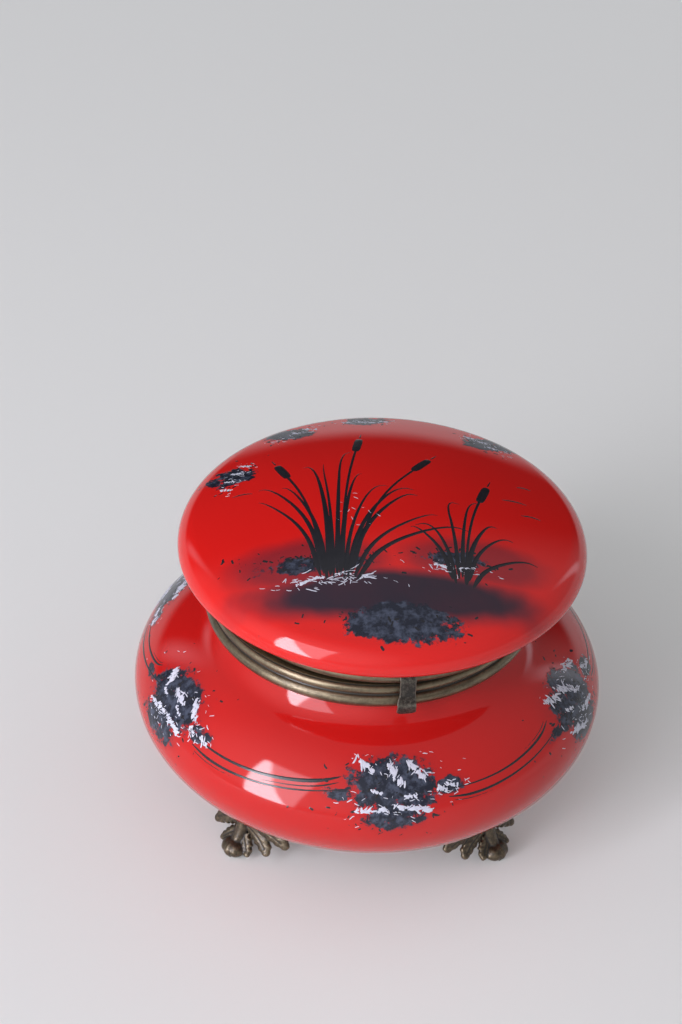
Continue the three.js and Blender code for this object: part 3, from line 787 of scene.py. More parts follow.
def touch(painting, place, length, heading, depth, slant):
    """One touch of the bristle brush, centred on place: streaks across its length, thickest in its middle."""
    ahead = unit(heading)
    for share in (-0.3, -0.1, 0.1, 0.3):
        start = np.array(place) + ahead * (share + rng.uniform(-0.2, 0)) * length
        points = squiggle(start + rng.normal(0, 0.08, 2) * depth, length * 0.25, heading, 0.5)
        dab(painting, points, depth * rng.uniform(0.25, 0.5), WHITE_BODY * 0.6)
    for _ in range(int(length * 3.4)):
        share = rng.uniform(-0.5, 0.5)
        reach = depth * rng.uniform(0.35, 1.2) * (1 - 2 * share**2)
        turned = heading + slant + rng.normal(0, 0.4)
        across = unit(turned)
        middle = np.array(place) + ahead * share * length + rng.normal(0, 0.12, 2) * depth
        points = squiggle(middle - across * reach / 2, reach, turned, 0.3)
        dab(painting, points, rng.uniform(0.28, 0.75), WHITE_BODY * rng.uniform(0.35, 1))


def lace(painting, middle, spread, count, longest=2.2, heading=-0.3, scatter=0.5):
    """Thin single strokes strewn round a place, most of them lying along it."""
    for _ in range(count):
        place = near(middle, spread)
        length = longest * rng.uniform(0.3, 1)
        points = squiggle(place, length, heading + rng.normal(0, scatter), 0.4)
        width = rng.uniform(0.20, 0.32) + 0.06 * length
        dab(painting, points, width, WHITE_BODY * rng.uniform(0.3, 0.8))


def rows_of_touches(painting, middle, rows):
    """Each row has the places of its touches, their height, longest length, heading, depth and slant."""
    for places, height, longest, heading, depth, slant in rows:
        for across in places:
            place = (middle + across + rng.normal(0, 1.0), height + rng.normal(0, 0.9))
            length = longest * rng.uniform(0.7, 1)
            touch(painting, place, length, heading + rng.normal(0, 0.22), depth, slant)


def specks(painting, middle, spread, count, largest):
    """Loose black dabs round a sponged patch."""
    for _ in range(count):
        place = near(middle, spread, 0.55)
        length = largest * rng.uniform(0.25, 1) ** 1.6
        points = squiggle(place, length, rng.uniform(0, math.pi), 0.4)
        dab(painting, points, length * rng.uniform(0.45, 0.85), BLACK_BODY)


def leaves(painting, middle, spread, count, longest):
    """Small brushed leaves that point away from the middle of a patch."""
    for _ in range(count):
        out = rng.normal(0, 0.5, 2)
        place = np.array(middle) + out * np.array(spread)
        heading = math.atan2(out[1], out[0]) + rng.normal(0, 0.5)
        step = longest * rng.uniform(0.5, 1) * unit(heading)
        curl = rng.uniform(-0.2, 0.2) * np.array([-step[1], step[0]])
        points = [place, place + step * 0.55 + curl, place + step]
        painting.mark(points, rng.uniform(0.8, 1.35), BLACK_BODY, "leaf", FINE_MARK)


# %% [markdown]
# ## The picture on the lid: reeds over a misty bank
#
# The lid has a plain, traditional water-side spray: two clumps of reeds with bulrush heads that lean to
# one side, over a soft dark bank. Long marks are the blades. Short ones make the heads and the loose leaves,
# and bristle touches are the light on the bank.

# %% Lid painting
BANK = -31  # where the bank's front edge lies, in front of the lid's middle


def reed(painting, foot, reach, height, lean, width):
    middle = foot + np.array([reach * 0.25, height * 0.55])
    tip = foot + np.array([reach, height])
    over = tip + np.array([lean, -abs(lean) * 0.35])
    painting.mark([foot, middle, tip, over], width, BLACK_BODY, "blade", LONG_MARK)


def bulrush(painting, foot, reach, height):
    tip = foot + np.array([reach, height])
    middle = (foot + tip) / 2 + np.array([-reach * 0.22, height * 0.06])
    painting.mark([foot, middle, tip], 1.0, BLACK_BODY, "line", LONG_MARK)
    along = (tip - middle) / np.linalg.norm(tip - middle)
    painting.mark([tip - along * 9, tip - along * 5, tip], 3.4, BLACK_BODY, "dab")
    painting.mark([tip, tip + along * 2.5, tip + along * 4.5], 0.7, BLACK_BODY, "blade")


lid_black = Painting("lid_paint_black", lay_on_lid)
for foot_x, spread, height, count in ((-13.0, 20.0, 56.0, 12), (19.0, 11.0, 33.0, 7)):
    for i in range(count):
        share = i / (count - 1) - 0.42
        foot = np.array([foot_x + share * spread * 0.45, BANK + rng.uniform(-1.5, 2)])
        reach = share * spread * 2.0 + rng.uniform(-1.5, 1.5)
        tall = height * (1 - abs(share)) * rng.uniform(0.86, 1.02)
        lean = rng.uniform(2.5, 7) * (1 if share > -0.1 else -0.8)
        reed(lid_black, foot, reach, tall, lean, rng.uniform(1.7, 2.9))
for foot_x, reach, height in ((-12, 6, 62), (-9, 22, 50), (-16, -13, 49), (20, 8, 39)):
    bulrush(lid_black, np.array([foot_x, BANK + 1.0]), reach, height)
for y, x, length in ((4, 31, 9), (-1.5, 36, 7), (6, -41, 7), (12, 36, 5)):
    lid_black.mark([(x, y), (x + length / 2, y + 0.7), (x + length, y - 0.3)], 0.75, BLACK_BODY, "leaf")

# %% Sprays at the lid's edge, and light on the bank
RIM_SPRAYS = (  # azimuth, radius, half length
    (158, 44.5, 8.5), (123, 46.5, 8.5), (95, 47, 7.0), (50, 47, 8.5),
)
BANK_TOUCHES = (  # places across, height, longest, heading, depth, slant
    ((-20,), BANK, 9.0, 0.2, 2.0, 0.2),
    ((-11, -6), BANK + 0.8, 4.5, 0.1, 0.9, 0),
    ((14, 19), BANK + 4.5, 4.5, -0.1, 1.1, -0.2),
)
BANK_LACE = (  # middle, spread, count
    ((-15, BANK), (15, 2.4), 60), ((18, BANK + 5), (12, 2.2), 44), ((-7, BANK + 26), (7, 9), 16),
)
BANK_SPECKS = (
    ((-19, BANK + 7), (20, 4.5), 150), ((18, BANK + 8), (13, 4), 70), ((3, BANK - 14), (22, 5), 80),
)


def rim_place(azimuth, radius):
    return radius * unit(math.radians(azimuth))


def rim_spray(painting, light, azimuth, radius, half):
    """Sponged foliage that follows the lid's edge."""
    for share in (-0.75, -0.25, 0.25, 0.75):
        middle = rim_place(azimuth + math.degrees(share * half / radius), radius - rng.uniform(0, 1.5))
        leaves(painting, middle, (3.0, 3.0), 3, 2.4)
        specks(painting, middle, (4.5, 4.5), 6, 1.4)
        lace(light, middle, (3.6, 3.0), 11, 1.8)
        if rng.random() < 0.8:
            touch(light, middle, rng.uniform(2.5, 4.0), -0.3, 1.4, -0.8)


lid_white = Painting("lid_enamel_white", lay_on_lid)
for spray in RIM_SPRAYS:
    rim_spray(lid_black, lid_white, *spray)
rows_of_touches(lid_white, 0, BANK_TOUCHES)
lace(lid_white, (-12, BANK), (13, 3.6), 16, 4.5, 0.1, 0.12)
for patch in BANK_LACE:
    lace(lid_white, *patch)
for patch in BANK_SPECKS:
    specks(lid_black, *patch, 1.9)
print(f"lid: {len(lid_black.vertices)} black marks, {len(lid_white.vertices)} white")

# %% [markdown]
# ## The border on the bowl: leaf sprays on a trailing stem
#
# Six sponged leaf sprays go round the belly, with thin stems that trail from each to the next and taper out
# where they pass. A painter sets such a border by eye, so the steps between the sprays aren't quite equal.
# Each spray is the same recipe with other random numbers, which come from one seeded source, so the border
# is the same on every run.

# %% Bowl painting
SPRAY_PLACES = (-122, -71, -3, 59, 119, 178)  # degrees round the bowl
STEM_WIDTH = 0.95
STEM_ROOM = 13  # from the middle of a spray to where its stems begin
SPRAY_TOUCHES = (  # places across, height, longest, heading, depth, slant
    ((-7.0, 1.0, 8.5), 4.8, 7.5, -0.5, 3.4, -0.8),
    ((-3.0, 4.0), -0.8, 4.5, -0.3, 1.5, -0.8),
    ((-4.5, 3.5), -4.8, 10.0, -0.08, 2.4, 0.5),
    ((12.5, 17.0), -0.8, 3.6, -0.2, 2.2, -0.8),
)
SPRAY_LACE = (  # across, height, spread, count
    (0, 5.5, (14, 4.5), 24), (0, -4.8, (14, 3.5), 36), (14, -0.8, (6, 3.2), 24),
)


def leaf_spray(painting, light, middle):
    leaves(painting, (middle, 0), (14, 9), 14, 2.8)
    specks(painting, (middle, -1.0), (18, 10), 50, 1.6)
    specks(painting, (middle, -9.0), (13, 3), 44, 1.3)
    rows_of_touches(light, middle, SPRAY_TOUCHES)
    for across, height, spread, count in SPRAY_LACE:
        lace(light, (middle + across, height), spread, count, 2.0)


def dry_stroke(painting, points, width, body):
    """A long stroke of a half-dry brush, with a thin streak that left it beside its thick end."""
    painting.mark(points, width, body, "blade", LONG_MARK)
    beside = np.array(points, float) + (0, width * rng.choice((-0.9, 0.9)))
    painting.mark(beside[:3], width * 0.4, body, "blade", LONG_MARK)


bowl_black = Painting("bowl_paint_black", lay_on_bowl)
bowl_white = Painting("bowl_enamel_white", lay_on_bowl)
for i, place in enumerate(SPRAY_PLACES):
    following = SPRAY_PLACES[(i + 1) % len(SPRAY_PLACES)]
    middle = math.radians(place) * BORDER_RADIUS
    gap = math.radians((following - place) % 360) * BORDER_RADIUS
    leaf_spray(bowl_black, bowl_white, middle)
    sag = rng.uniform(2.4, 4.0)
    going = [(STEM_ROOM / gap, -3.6), (0.33, -sag - 2.0), (0.62, -sag - 0.4), (0.94, 1.0)]
    coming = [(1 - STEM_ROOM / gap, 3.0), (0.70, 0.2), (0.40, -sag * 0.8), (0.06, -1.2)]
    for ends, body in ((going, 0.035), (coming, 0.05)):
        points = [(middle + share * gap, height) for share, height in ends]
        dry_stroke(bowl_black, points, STEM_WIDTH * rng.uniform(1.0, 1.7), body)
print(f"bowl: {len(bowl_black.vertices)} black marks, {len(bowl_white.vertices)} white")

# %% [markdown]
# ## Red glass, paint and enamel
#
# Red opal glass lets no light through, so it needs no refraction: it is a deep red body under a fire-polished
# skin. The skin isn't quite true, and a faint, wide bump keeps reflections from looking drawn with
# a compass. The soft parts of the painting were sprayed or dabbed with a sponge. They have no edge that
# geometry could hold, so they are masks in the glass's own material.

# %% Glass finish
RED = (0.65, 0.0110, 0.0090, 1)
# A darker red: noise mixes it in as random tone, and on the bowl it is also painted shade.
RED_DEEP_AND_SHADE = (0.40, 0.0070, 0.0062, 1)
SMOKE = (0.010, 0.012, 0.023, 1)
MIST = (0.11, 0.13, 0.19, 1)  # thin white enamel over black
DABBED, MISTED = (0.70, 0.79), (0.50, 0.78)  # where each starts and is full
SPRAY_OVALS = (  # middle, radii, strength
    ((0, 1.0), (16, 10.5), 1), ((0, -7.5), (11, 5.5), 0.9),
    ((15, -0.8), (6, 3.6), 0.85), ((-14, -1.8), (6, 2.4), 0.75),
)


def red_glass(name, masks, depth):
    """Red glass. masks is given the finish, and gives how thick the sprayed and the dabbed paint lie."""
    finish = Finish(name, ior=1.52)
    where = finish.place()
    sprayed, thickness = masks(finish, where)
    lumps = finish.noise(3.4, detail=1, where=where)
    torn = finish.noise(1.3, detail=4, roughness=0.72, where=where)
    dabbed = (lumps * 0.45 + torn * 0.55 + thickness * 0.42).step(*DABBED)
    misted = dabbed * (finish.noise(2.4, detail=4, roughness=0.65) + thickness * 0.10).step(*MISTED)
    # depth mixes a base share of the darker red into the whole piece, and noise varies it at random; the
    # bowl's larger share is painted shade.
    body = finish.mix(depth + (finish.noise(38, detail=1) - 0.5) * 0.4, RED, RED_DEEP_AND_SHADE)
    colour = finish.mix(sprayed * (0.94 + 0.06 * finish.noise(11, detail=4)), body, SMOKE)
    colour = finish.mix(misted * 0.5, finish.mix(dabbed, colour, SMOKE), MIST)
    paint = (sprayed * 0.35).larger(dabbed)
    finish.set(base_color=colour, roughness=0.05 + 0.08 * paint + 0.02 * finish.noise(7))
    finish.bump(finish.noise(16, detail=1) + dabbed * 0.25, 0.10, 0.5)
    return finish.material


def soft_oval(finish, across, up, middle, radii, core=0.35):
    """1 in the middle of an oval, fading out past its edge, with an uneven outline."""
    u, v = (across - middle[0]) / radii[0], (up - middle[1]) / radii[1]
    reach = (u * u + v * v) ** 0.5 + (finish.noise(9, detail=2) - 0.5) * 0.3
    return 1 - reach.step(core, 1.15)


def largest_of(fields):
    total = fields[0]
    for field in fields[1:]:
        total = total.larger(field)
    return total


def lid_masks(finish, where):
    turned = finish.node("VectorRotate", {"rotation_type": "Z_AXIS"},
                         {"Vector": where, "Center": (LID_CENTRE, 0, 0), "Angle": -PICTURE_TURN})
    across, up = finish.split(turned, "XY")
    across = across - LID_CENTRE

    def oval(middle, radii, core=0.35):
        return soft_oval(finish, across, up, middle, radii, core)

    bank = oval((2, BANK - 4.5), (43, 8.8), 0.58)
    hills = (oval((-20, BANK + 6), (22, 9), 0.6) * 0.62).larger(oval((23, BANK + 8), (21, 8.5), 0.6) * 0.55)
    rim = [oval(rim_place(azimuth, radius), (half * 1.2, half * 0.75)) * 0.92
           for azimuth, radius, half in RIM_SPRAYS]
    dabbed = largest_of([oval((-19, BANK + 5.5), (19, 4.2)) * 0.85, oval((18, BANK + 8), (12, 3.6)) * 0.85,
                         oval((4, BANK - 13.5), (20, 8.0)), *rim])
    on_top = finish.split(where, "Z")[0].step(RIM_Z - 0.5, RIM_Z + 1.0)
    return bank.larger(hills) * on_top, dabbed * on_top


def bowl_masks(finish, where):
    x, y, z = finish.split(where)
    angle, rise = x.maths("ARCTAN2", x, 0 - y), z - BORDER_Z
    height = rise * (SLANT + SLANT_CURVE * rise)  # along the skin, as the marks are laid
    away = None  # how far right of the nearest spray's middle
    for place in SPRAY_PLACES:
        along = angle.maths("WRAP", angle - math.radians(place), math.pi, -math.pi) * BORDER_RADIUS
        if away:
            along = away + along.maths("LESS_THAN", along * along, away * away) * (along - away)
        away = along
    spray = largest_of([soft_oval(finish, away, height, middle, radii) * strength
                        for middle, radii, strength in SPRAY_OVALS])
    return spray * 0.25, spray


def opal_casing():
    finish = Finish("opal_casing", ior=1.5, roughness=0.12)
    finish.set(base_color=finish.mix(finish.noise(20), (0.80, 0.77, 0.72, 1), (0.74, 0.70, 0.66, 1)))
    finish.bump(finish.noise(14), 0.15, 0.4)
    return finish.material


def paint_finish(name, light, dark, roughness, grain):
    finish = Finish(name, ior=1.5)
    finish.set(base_color=finish.mix(finish.noise(grain, detail=3), light, dark))
    finish.set(roughness=roughness + 0.12 * finish.noise(grain * 0.6))
    finish.bump(finish.noise(grain * 0.5, detail=3), 0.03, 0.5)
    return finish.material


lid_red = red_glass("red_glass_lid", lid_masks, 0.2)
bowl_red = red_glass("red_glass_bowl", bowl_masks, 0.7)  # a deeper red than the lid's: painted shade over the whole bowl
casing = opal_casing()
black_paint = paint_finish("black_paint", (0.010, 0.010, 0.013, 1), (0.018, 0.017, 0.022, 1), 0.14, 3.0)
white_enamel = paint_finish("white_enamel", (0.70, 0.69, 0.76, 1), (0.40, 0.42, 0.52, 1), 0.25, 1.1)


def case_inside(piece, centre):
    """Gives the faces that look inwards, at the hollow's centre, the opal casing."""
    for face in piece.data.polygons:
        outwards = face.center - Vector(centre) * MM
        if face.normal.dot(outwards) < 0:
            face.material_index = 1


for piece, red, centre, body, node in (
    (bowl, bowl_red, (0, 0, BOWL_EQUATOR), "base", "bowl_glass"),
    (lid, lid_red, (LID_CENTRE, 0, RIM_Z + 2), "lid", "lid_glass"),
):
    finish_piece(piece, (red, casing), body, "red_glass", node)
    case_inside(piece, centre)

for painting, paint, body in (
    (lid_black, black_paint, "lid"), (lid_white, white_enamel, "lid"),
    (bowl_black, black_paint, "base"), (bowl_white, white_enamel, "base"),
):
    finish_piece(painting.piece(), (paint,), body, "red_glass")

# %% [markdown]
# ## Old brass
#
# The brass has gone brown and a little green, and hands have rubbed its high places back to metal. A
# material can't know which places are high, so the mesh tells it: every vertex gets a number that says how
# far it stands proud of its neighbours. The number is smoothed over the surface, because wear is never as
# sharp as an edge.

# %% Brass finish
WORN_NAME = "worn"
RUBBED, CLEAN = (0.38, 0.84), (0.28, 0.50)  # how worn a place is where each starts and is full


def mark_wear(piece, rounds, gain):
    """Writes how convex the surface is at each vertex, from 0 (groove) to 1 (crest)."""
    places, normals = vertex_rows(piece), vertex_rows(piece, "normal")
    edges = np.empty(len(piece.data.edges) * 2, int)
    piece.data.edges.foreach_get("vertices", edges)
    a, b = edges.reshape(-1, 2).T

    def gathered(for_a, for_b):
        """For each vertex, the sum over its edges of what the edges hold for that end."""
        total = np.zeros(len(places))
        np.add.at(total, a, for_a)
        np.add.at(total, b, for_b)
        return total

    gap = places[a] - places[b]
    length = np.linalg.norm(gap, axis=1) + 1e-12
    slopes = [np.einsum("ij,ij->i", gap, normals[end]) / length**2 for end in (a, b)]
    degree = gathered(1, 1)
    bent = gathered(slopes[0], -slopes[1]) / degree * MM
    for _ in range(rounds):
        bent = 0.5 * bent + 0.5 * gathered(bent[b], bent[a]) / degree
    attribute = piece.data.attributes.new(WORN_NAME, "FLOAT", "POINT")
    attribute.data.foreach_set("value", np.clip(0.5 + bent * gain, 0, 1))


MARKS_RADIUS = 45  # the marks are right in length at this distance from the axis


def round_the_axis(finish, stretch):
    """Coordinates that run round the box: a noise in them makes marks drawn out along the beads."""
    x, y, z = finish.split(finish.place())
    angle, radius = x.maths("ARCTAN2", x, 0 - y), (x * x + y * y) ** 0.5
    return finish.node("CombineXYZ", None, {0: angle * MARKS_RADIUS / stretch, 1: radius, 2: z})


def aged_brass(name, bright, dull, grime, drawn=False, roughness=0.34):
    finish = Finish(name, ior=1.45, coat_weight=0.6, coat_roughness=0.32)
    blotches = finish.noise(9, detail=4, roughness=0.6)
    pits = finish.noise(0.9, detail=3, roughness=0.75)
    streaks = finish.noise(0.8, detail=3, where=round_the_axis(finish, 9)) if drawn else pits
    worn = finish.node("Attribute", {"attribute_name": WORN_NAME}, output="Fac")
    rubbed = (worn + (blotches - 0.5) * 0.6 + (pits - 0.5) * 0.5 + (streaks - 0.5) * 0.7).step(*RUBBED)
    dirty = 1 - (worn + (blotches - 0.5) * 0.3 + (pits - 0.5) * 0.3).step(*CLEAN)
    colour = finish.mix(rubbed, dull, bright)
    colour = finish.mix(dirty * 0.88, colour, grime)
    finish.set(base_color=colour, metallic=1 - dirty * 0.75,
               roughness=roughness + 0.22 * dirty + 0.16 * (1 - rubbed) + 0.12 * pits)
    finish.bump(pits * 0.6 + streaks * 0.4, 0.06, 0.7)
    return finish.material


COLLAR_TONES = (0.225, 0.180, 0.112, 1), (0.072, 0.055, 0.031, 1), (0.014, 0.011, 0.008, 1)
TONGUE_TONES = (0.170, 0.150, 0.120, 1), (0.030, 0.025, 0.020, 1), (0.010, 0.008, 0.007, 1)
# The cast tones are darker than the collar's: the cast brass's own duller colour, deepened further as painted
# shade for the feet and foot ring, which stand low under the bowl.
CAST_TONES_WITH_SHADE = (0.170, 0.132, 0.080, 1), (0.062, 0.047, 0.030, 1), (0.014, 0.011, 0.008, 1)
collar_brass = aged_brass("collar_brass", *COLLAR_TONES, drawn=True)
strip_brass = aged_brass("strip_brass", *COLLAR_TONES)
tongue_brass = aged_brass("tongue_brass", *TONGUE_TONES)
cast_brass = aged_brass("cast_brass", *CAST_TONES_WITH_SHADE, roughness=0.40)

# %% [markdown]
# ## The collars and the foot ring
#
# Both collars are sheet brass, rolled into rounded beads: two on the bowl's collar, the lower one
# thicker, and one on the lid's. The foot ring is a plain band with a small bead at its foot and a ledge
# under the glass. They are turned like the glass, from outlines whose beads are arcs.

# %% Collars and ring
NECK_PLASTER = 2.0
SHEET = 0.8
LOWER_BEAD, UPPER_BEAD, UPPER_SETBACK = 1.9, 1.35, 0.3
LID_BEAD = 1.9
LIP_RISE, SLEEVE_DEPTH, SLEEVE_GAP = 1.1, 4.8, 0.4
RING_SHEET, RING_BEAD, RING_LEDGE = 0.9, 0.7, 5.0

collar_inner = NECK_RADIUS + NECK_PLASTER
bead_centre = collar_inner + SHEET / 2
sleeve_inner = NECK_RADIUS - NECK_WALL - SLEEVE_GAP - SHEET
lip_outer = sleeve_inner + SHEET
plate_z = COLLAR_BOTTOM + 2 * LOWER_BEAD + 2 * UPPER_BEAD
collar_top = plate_z + SHEET


def rounded_top(height, inner, outer):
    """The half-round upper edge of an upright sheet, from its outer side to its inner side."""
    half = (outer - inner) / 2
    return arc(((inner + outer) / 2, height), (half, half), 0, 180, 6)


def bowl_collar_outline():
    lip_top = collar_top + LIP_RISE
    return [
        (collar_inner, COLLAR_BOTTOM + 0.3),
        (collar_inner + 0.2, COLLAR_BOTTOM),
        *arc((bead_centre, COLLAR_BOTTOM + LOWER_BEAD), (LOWER_BEAD, LOWER_BEAD), -90, 72, 22),
        *arc((bead_centre - UPPER_SETBACK, COLLAR_BOTTOM + 2 * LOWER_BEAD + UPPER_BEAD),
             (UPPER_BEAD, UPPER_BEAD), -58, 78, 16),
        (collar_inner + SHEET, collar_top - 0.05),
        (collar_inner + SHEET - 0.2, collar_top),
        (lip_outer + 0.3, collar_top),
        (lip_outer, collar_top + 0.3),
        *rounded_top(lip_top - SHEET / 2, sleeve_inner, lip_outer),
        (sleeve_inner, plate_z - SLEEVE_DEPTH),
        (lip_outer, plate_z - SLEEVE_DEPTH),
        (lip_outer, plate_z),
        (collar_inner, plate_z),
        (collar_inner, COLLAR_BOTTOM + 0.3),
    ]


def lid_collar_outline():
    wall_inner = collar_inner - SHEET / 2
    wall_outer = wall_inner + SHEET
    ledge_inner = lip_outer + LID_CENTRE + 0.6
    bead_z = LID_COLLAR_BOTTOM + LID_BEAD
    return [
        (ledge_inner, LID_COLLAR_BOTTOM),
        *arc((bead_centre, bead_z), (LID_BEAD, LID_BEAD), -90, 74, 22),
        *eased((wall_outer, bead_z + LID_BEAD), (0.45, -0.1 * LID_BEAD), (0, 0.6), 4),
        (wall_outer, LID_COLLAR_TOP - 0.2),
        (wall_outer - 0.2, LID_COLLAR_TOP),
        (wall_inner, LID_COLLAR_TOP),
        (wall_inner, LID_COLLAR_BOTTOM + SHEET),
        (ledge_inner, LID_COLLAR_BOTTOM + SHEET),
        (ledge_inner, LID_COLLAR_BOTTOM),
    ]


ring_outer = ring_high.x - RING_BEAD
ring_inner = ring_outer - RING_SHEET


def foot_ring_outline():
    ledge = BASE_RADIUS - RING_LEDGE
    return [
        (ledge, ring_low.z),
        *arc((ring_outer, ring_low.z + RING_BEAD), (RING_BEAD, RING_BEAD), -90, 90, 16),
        *rounded_top(ring_high.z - RING_SHEET / 2, ring_inner, ring_outer),
        (ring_inner, ring_low.z + RING_SHEET),
        (ledge, ring_low.z + RING_SHEET),
        (ledge, ring_low.z),
    ]


for name, outline, centre_x, body, slot, material, node in (
    ("bowl_collar_beads", bowl_collar_outline(), 0, "base", "collar_brass", collar_brass, "bowl_collar"),
    ("lid_collar_bead", lid_collar_outline(), LID_CENTRE, "lid", "collar_brass", collar_brass, "lid_collar"),
    ("foot_ring_band", foot_ring_outline(), 0, "base", "cast_brass", cast_brass, "foot_ring"),
):
    piece = turn(name, outline, centre_x)
    mark_wear(piece, rounds=2, gain=1.1)
    finish_piece(piece, (material,), body, slot, node)

# %% [markdown]
# ## The feet: a leaf with a curled toe
#
# Each foot is one brass casting: a lobed leaf that lies against the ring and flares out under the glass, with
# a stem down its middle that ends in a curled toe. The pattern for such a casting was carved as relief on
# a bent sheet, and the same order works here. A flat grid is cut to the leaf's outline and extruded, its
# front is raised by the relief, and both layers are bent onto the flare.
#
# Leaf, toe and solder tab are then joined and remeshed, which melts them into one casting with the soft
# inner corners that molten brass leaves.

# %% Foot sizes
FOOT_TURN = -8  # degrees: the stand was put on a little askew
FOOT_REACH = 54.5
LEAF_BODY = 0.75  # thickness of the sheet under the relief
LEAF_FIELD, LEAF_FIELD_MIDDLE = (30, 22), -4.2  # the grid that the leaf is cut from
LEAF_GRID = 0.25
TOE_SIZE = (3.9, 3.1, 2.45)  # half sizes of the curled toe
TOE_SET, TOE_Z = 3.1, 2.4  # how far inside the foot's reach and how high its middle lies
TAB_SIZE, TAB_Y, TAB_DROP = (5, 6.4, 1.5), -44.2, 1.05
MELT_VOXEL, MELT_ROUNDS = 0.21, 4
leaf_inner = ring_high.x + 0.35

leaf_back = np.array([
    (leaf_inner + 2.6, ring_high.z + 0.55),
    (leaf_inner + 0.9, ring_high.z - 0.1),
    (leaf_inner, ring_high.z - 1.2),
    *bend((leaf_inner, ring_low.z), (leaf_inner + 0.8, 3.7), (FOOT_REACH - 1, 0.2), 14),
])
runs = np.concatenate([[0], np.cumsum(np.linalg.norm(np.diff(leaf_back, axis=0), axis=1))])
leaf_up = runs[3] - runs  # distance up the sheet from the ring's lower edge, negative towards the toe
leaf_out = side_normals(leaf_back)


def on_leaf(across, up, out):
    """A place on the bent sheet, standing out in front of it, for a foot that faces -Y."""
    radius, height = (np.interp(-up, -leaf_up, leaf_back[:, k]) for k in (0, 1))
    out_r, out_z = (np.interp(-up, -leaf_up, leaf_out[:, k]) for k in (0, 1))
    angle = np.arcsin(np.clip(across / radius, -1, 1))
    reach = radius + out * out_r
    return np.stack([reach * np.sin(angle), -reach * np.cos(angle), height + out * out_z], 1)


# %% [markdown]
# The relief is made of lobes. Each has a curved rib as its axis, and a section like a leaflet's: a dome that
# falls to the edge, with a vein cut down its middle and scallops along its outline. Where lobes overlap, the
# higher one wins, which leaves a crease between them as a carver's tool does.

# %% Leaf relief
LOBES = (  # root, bend and tip as (across, up), half width, height; each is mirrored
    ((0.6, -3.5), (6.0, -3.8), (9.4, -8.8), 2.5, 1.15),
    ((0.8, -1.5), (8.5, -0.6), (13.7, -4.6), 2.7, 1.25),
    ((0.8, 0.6), (8.5, 2.9), (14.0, 1.4), 2.5, 1.15),
    ((0.5, -6.0), (2.6, -8.6), (4.7, -11.9), 1.9, 0.95),
    ((0.2, 1.2), (3.0, 4.0), (7.4, 4.4), 1.7, 0.95),
)
STEM = ((0.0, 4.6), (0.0, -4.0), (0.0, -15.0), 1.9, 2.1)


def lobe_relief(across, up, lobe, veins=True):
    root, middle, tip, half_width, height = lobe
    axis = np.array(bend(root, middle, tip, 40))
    shares = np.linspace(0, 1, len(axis))
    gaps = np.hypot(across[:, None] - axis[None, :, 0], up[:, None] - axis[None, :, 1])
    nearest = gaps.argmin(axis=1)
    away, t = gaps[np.arange(len(across)), nearest], shares[nearest]
    width = half_width * (0.45 + 0.55 * np.sin(np.pi * np.minimum(t * 0.9 + 0.02, 1)))
    if veins:
        width = width * (1 + 0.11 * np.cos(2 * np.pi * 4.5 * t))
    dome = np.sqrt(np.clip(1 - (away / width) ** 2, 0, 1))
    relief = height * dome * (0.62 + 0.38 * np.sin(np.pi * t))
    if veins:
        relief -= 0.30 * np.exp(-((away / 0.30) ** 2)) * (t < 0.93)
        relief -= 0.10 * (0.5 + 0.5 * np.cos(2 * np.pi * (6 * t - away / 1.6))) * (away > 0.5)
    return np.where(away < width, np.maximum(relief, 0.02), -1)


def leaf_relief(across, up):
    side = np.abs(across)
    total = lobe_relief(side, up, STEM, veins=False)
    for lobe in LOBES:
        total = np.maximum(total, lobe_relief(side, up, lobe))
    return total


# %% Casting one foot
def foot_leaf():
    width, height = LEAF_FIELD
    cells = {"x_subdivisions": int(width / LEAF_GRID), "y_subdivisions": int(height / LEAF_GRID)}
    leaf = added(bpy.ops.mesh.primitive_grid_add, size=2, **cells)
    onto_field = Matrix.Diagonal((width / 2, height / 2, 1, 1))
    leaf.data.transform(Matrix.Translation((0, LEAF_FIELD_MIDDLE, 0)) @ onto_field)
    flat = vertex_rows(leaf)
    select_vertices(leaf, leaf_relief(flat[:, 0], flat[:, 1]) < 0)
    with edit_mode(everything=False):
        bpy.ops.mesh.select_mode(type="VERT")
        bpy.ops.mesh.delete(type="VERT")
        bpy.ops.mesh.select_all(action="SELECT")
        bpy.ops.mesh.delete_loose(use_verts=True, use_edges=True, use_faces=False)
        bpy.ops.mesh.select_all(action="SELECT")
        extrude((0, 0, 1))
    across, up, layer = vertex_rows(leaf).T
    set_places(leaf, on_leaf(across, up, layer * (LEAF_BODY + leaf_relief(across, up))))
    with edit_mode():
        face_outwards()
    return leaf


def foot_toe():
    """The curled end of the stem: a rounded roll with ridges that run over it."""
    toe = added(bpy.ops.mesh.primitive_uv_sphere_add, segments=40, ring_count=28, radius=1)
    x, y, z = vertex_rows(toe).T
    ridges = 1 + 0.055 * np.cos(x * 3.2 * math.pi) * np.clip(1 - z * z * 0.2, 0, 1)
    pinch = np.sqrt(np.clip(1 - x * x * 0.35, 0, 1))
    half_x, half_y, half_z = TOE_SIZE
    y = y * half_y * ridges * pinch - FOOT_REACH + TOE_SET
    z = z * half_z * ridges * pinch + TOE_Z
    set_places(toe, np.stack([x * half_x, y, z], 1))
    return toe


def foot_tab():
    """The flat end of the stem that is soldered under the ring."""
    tab = added(bpy.ops.mesh.primitive_cube_add, size=1)
    onto_stem = Matrix.Translation((0, TAB_Y, ring_low.z - TAB_DROP))
    tab.data.transform(onto_stem @ Matrix.Diagonal((*TAB_SIZE, 1)))
    with edit_mode():
        bpy.ops.mesh.bevel(offset=0.5, segments=3, affect="EDGES")
    return tab


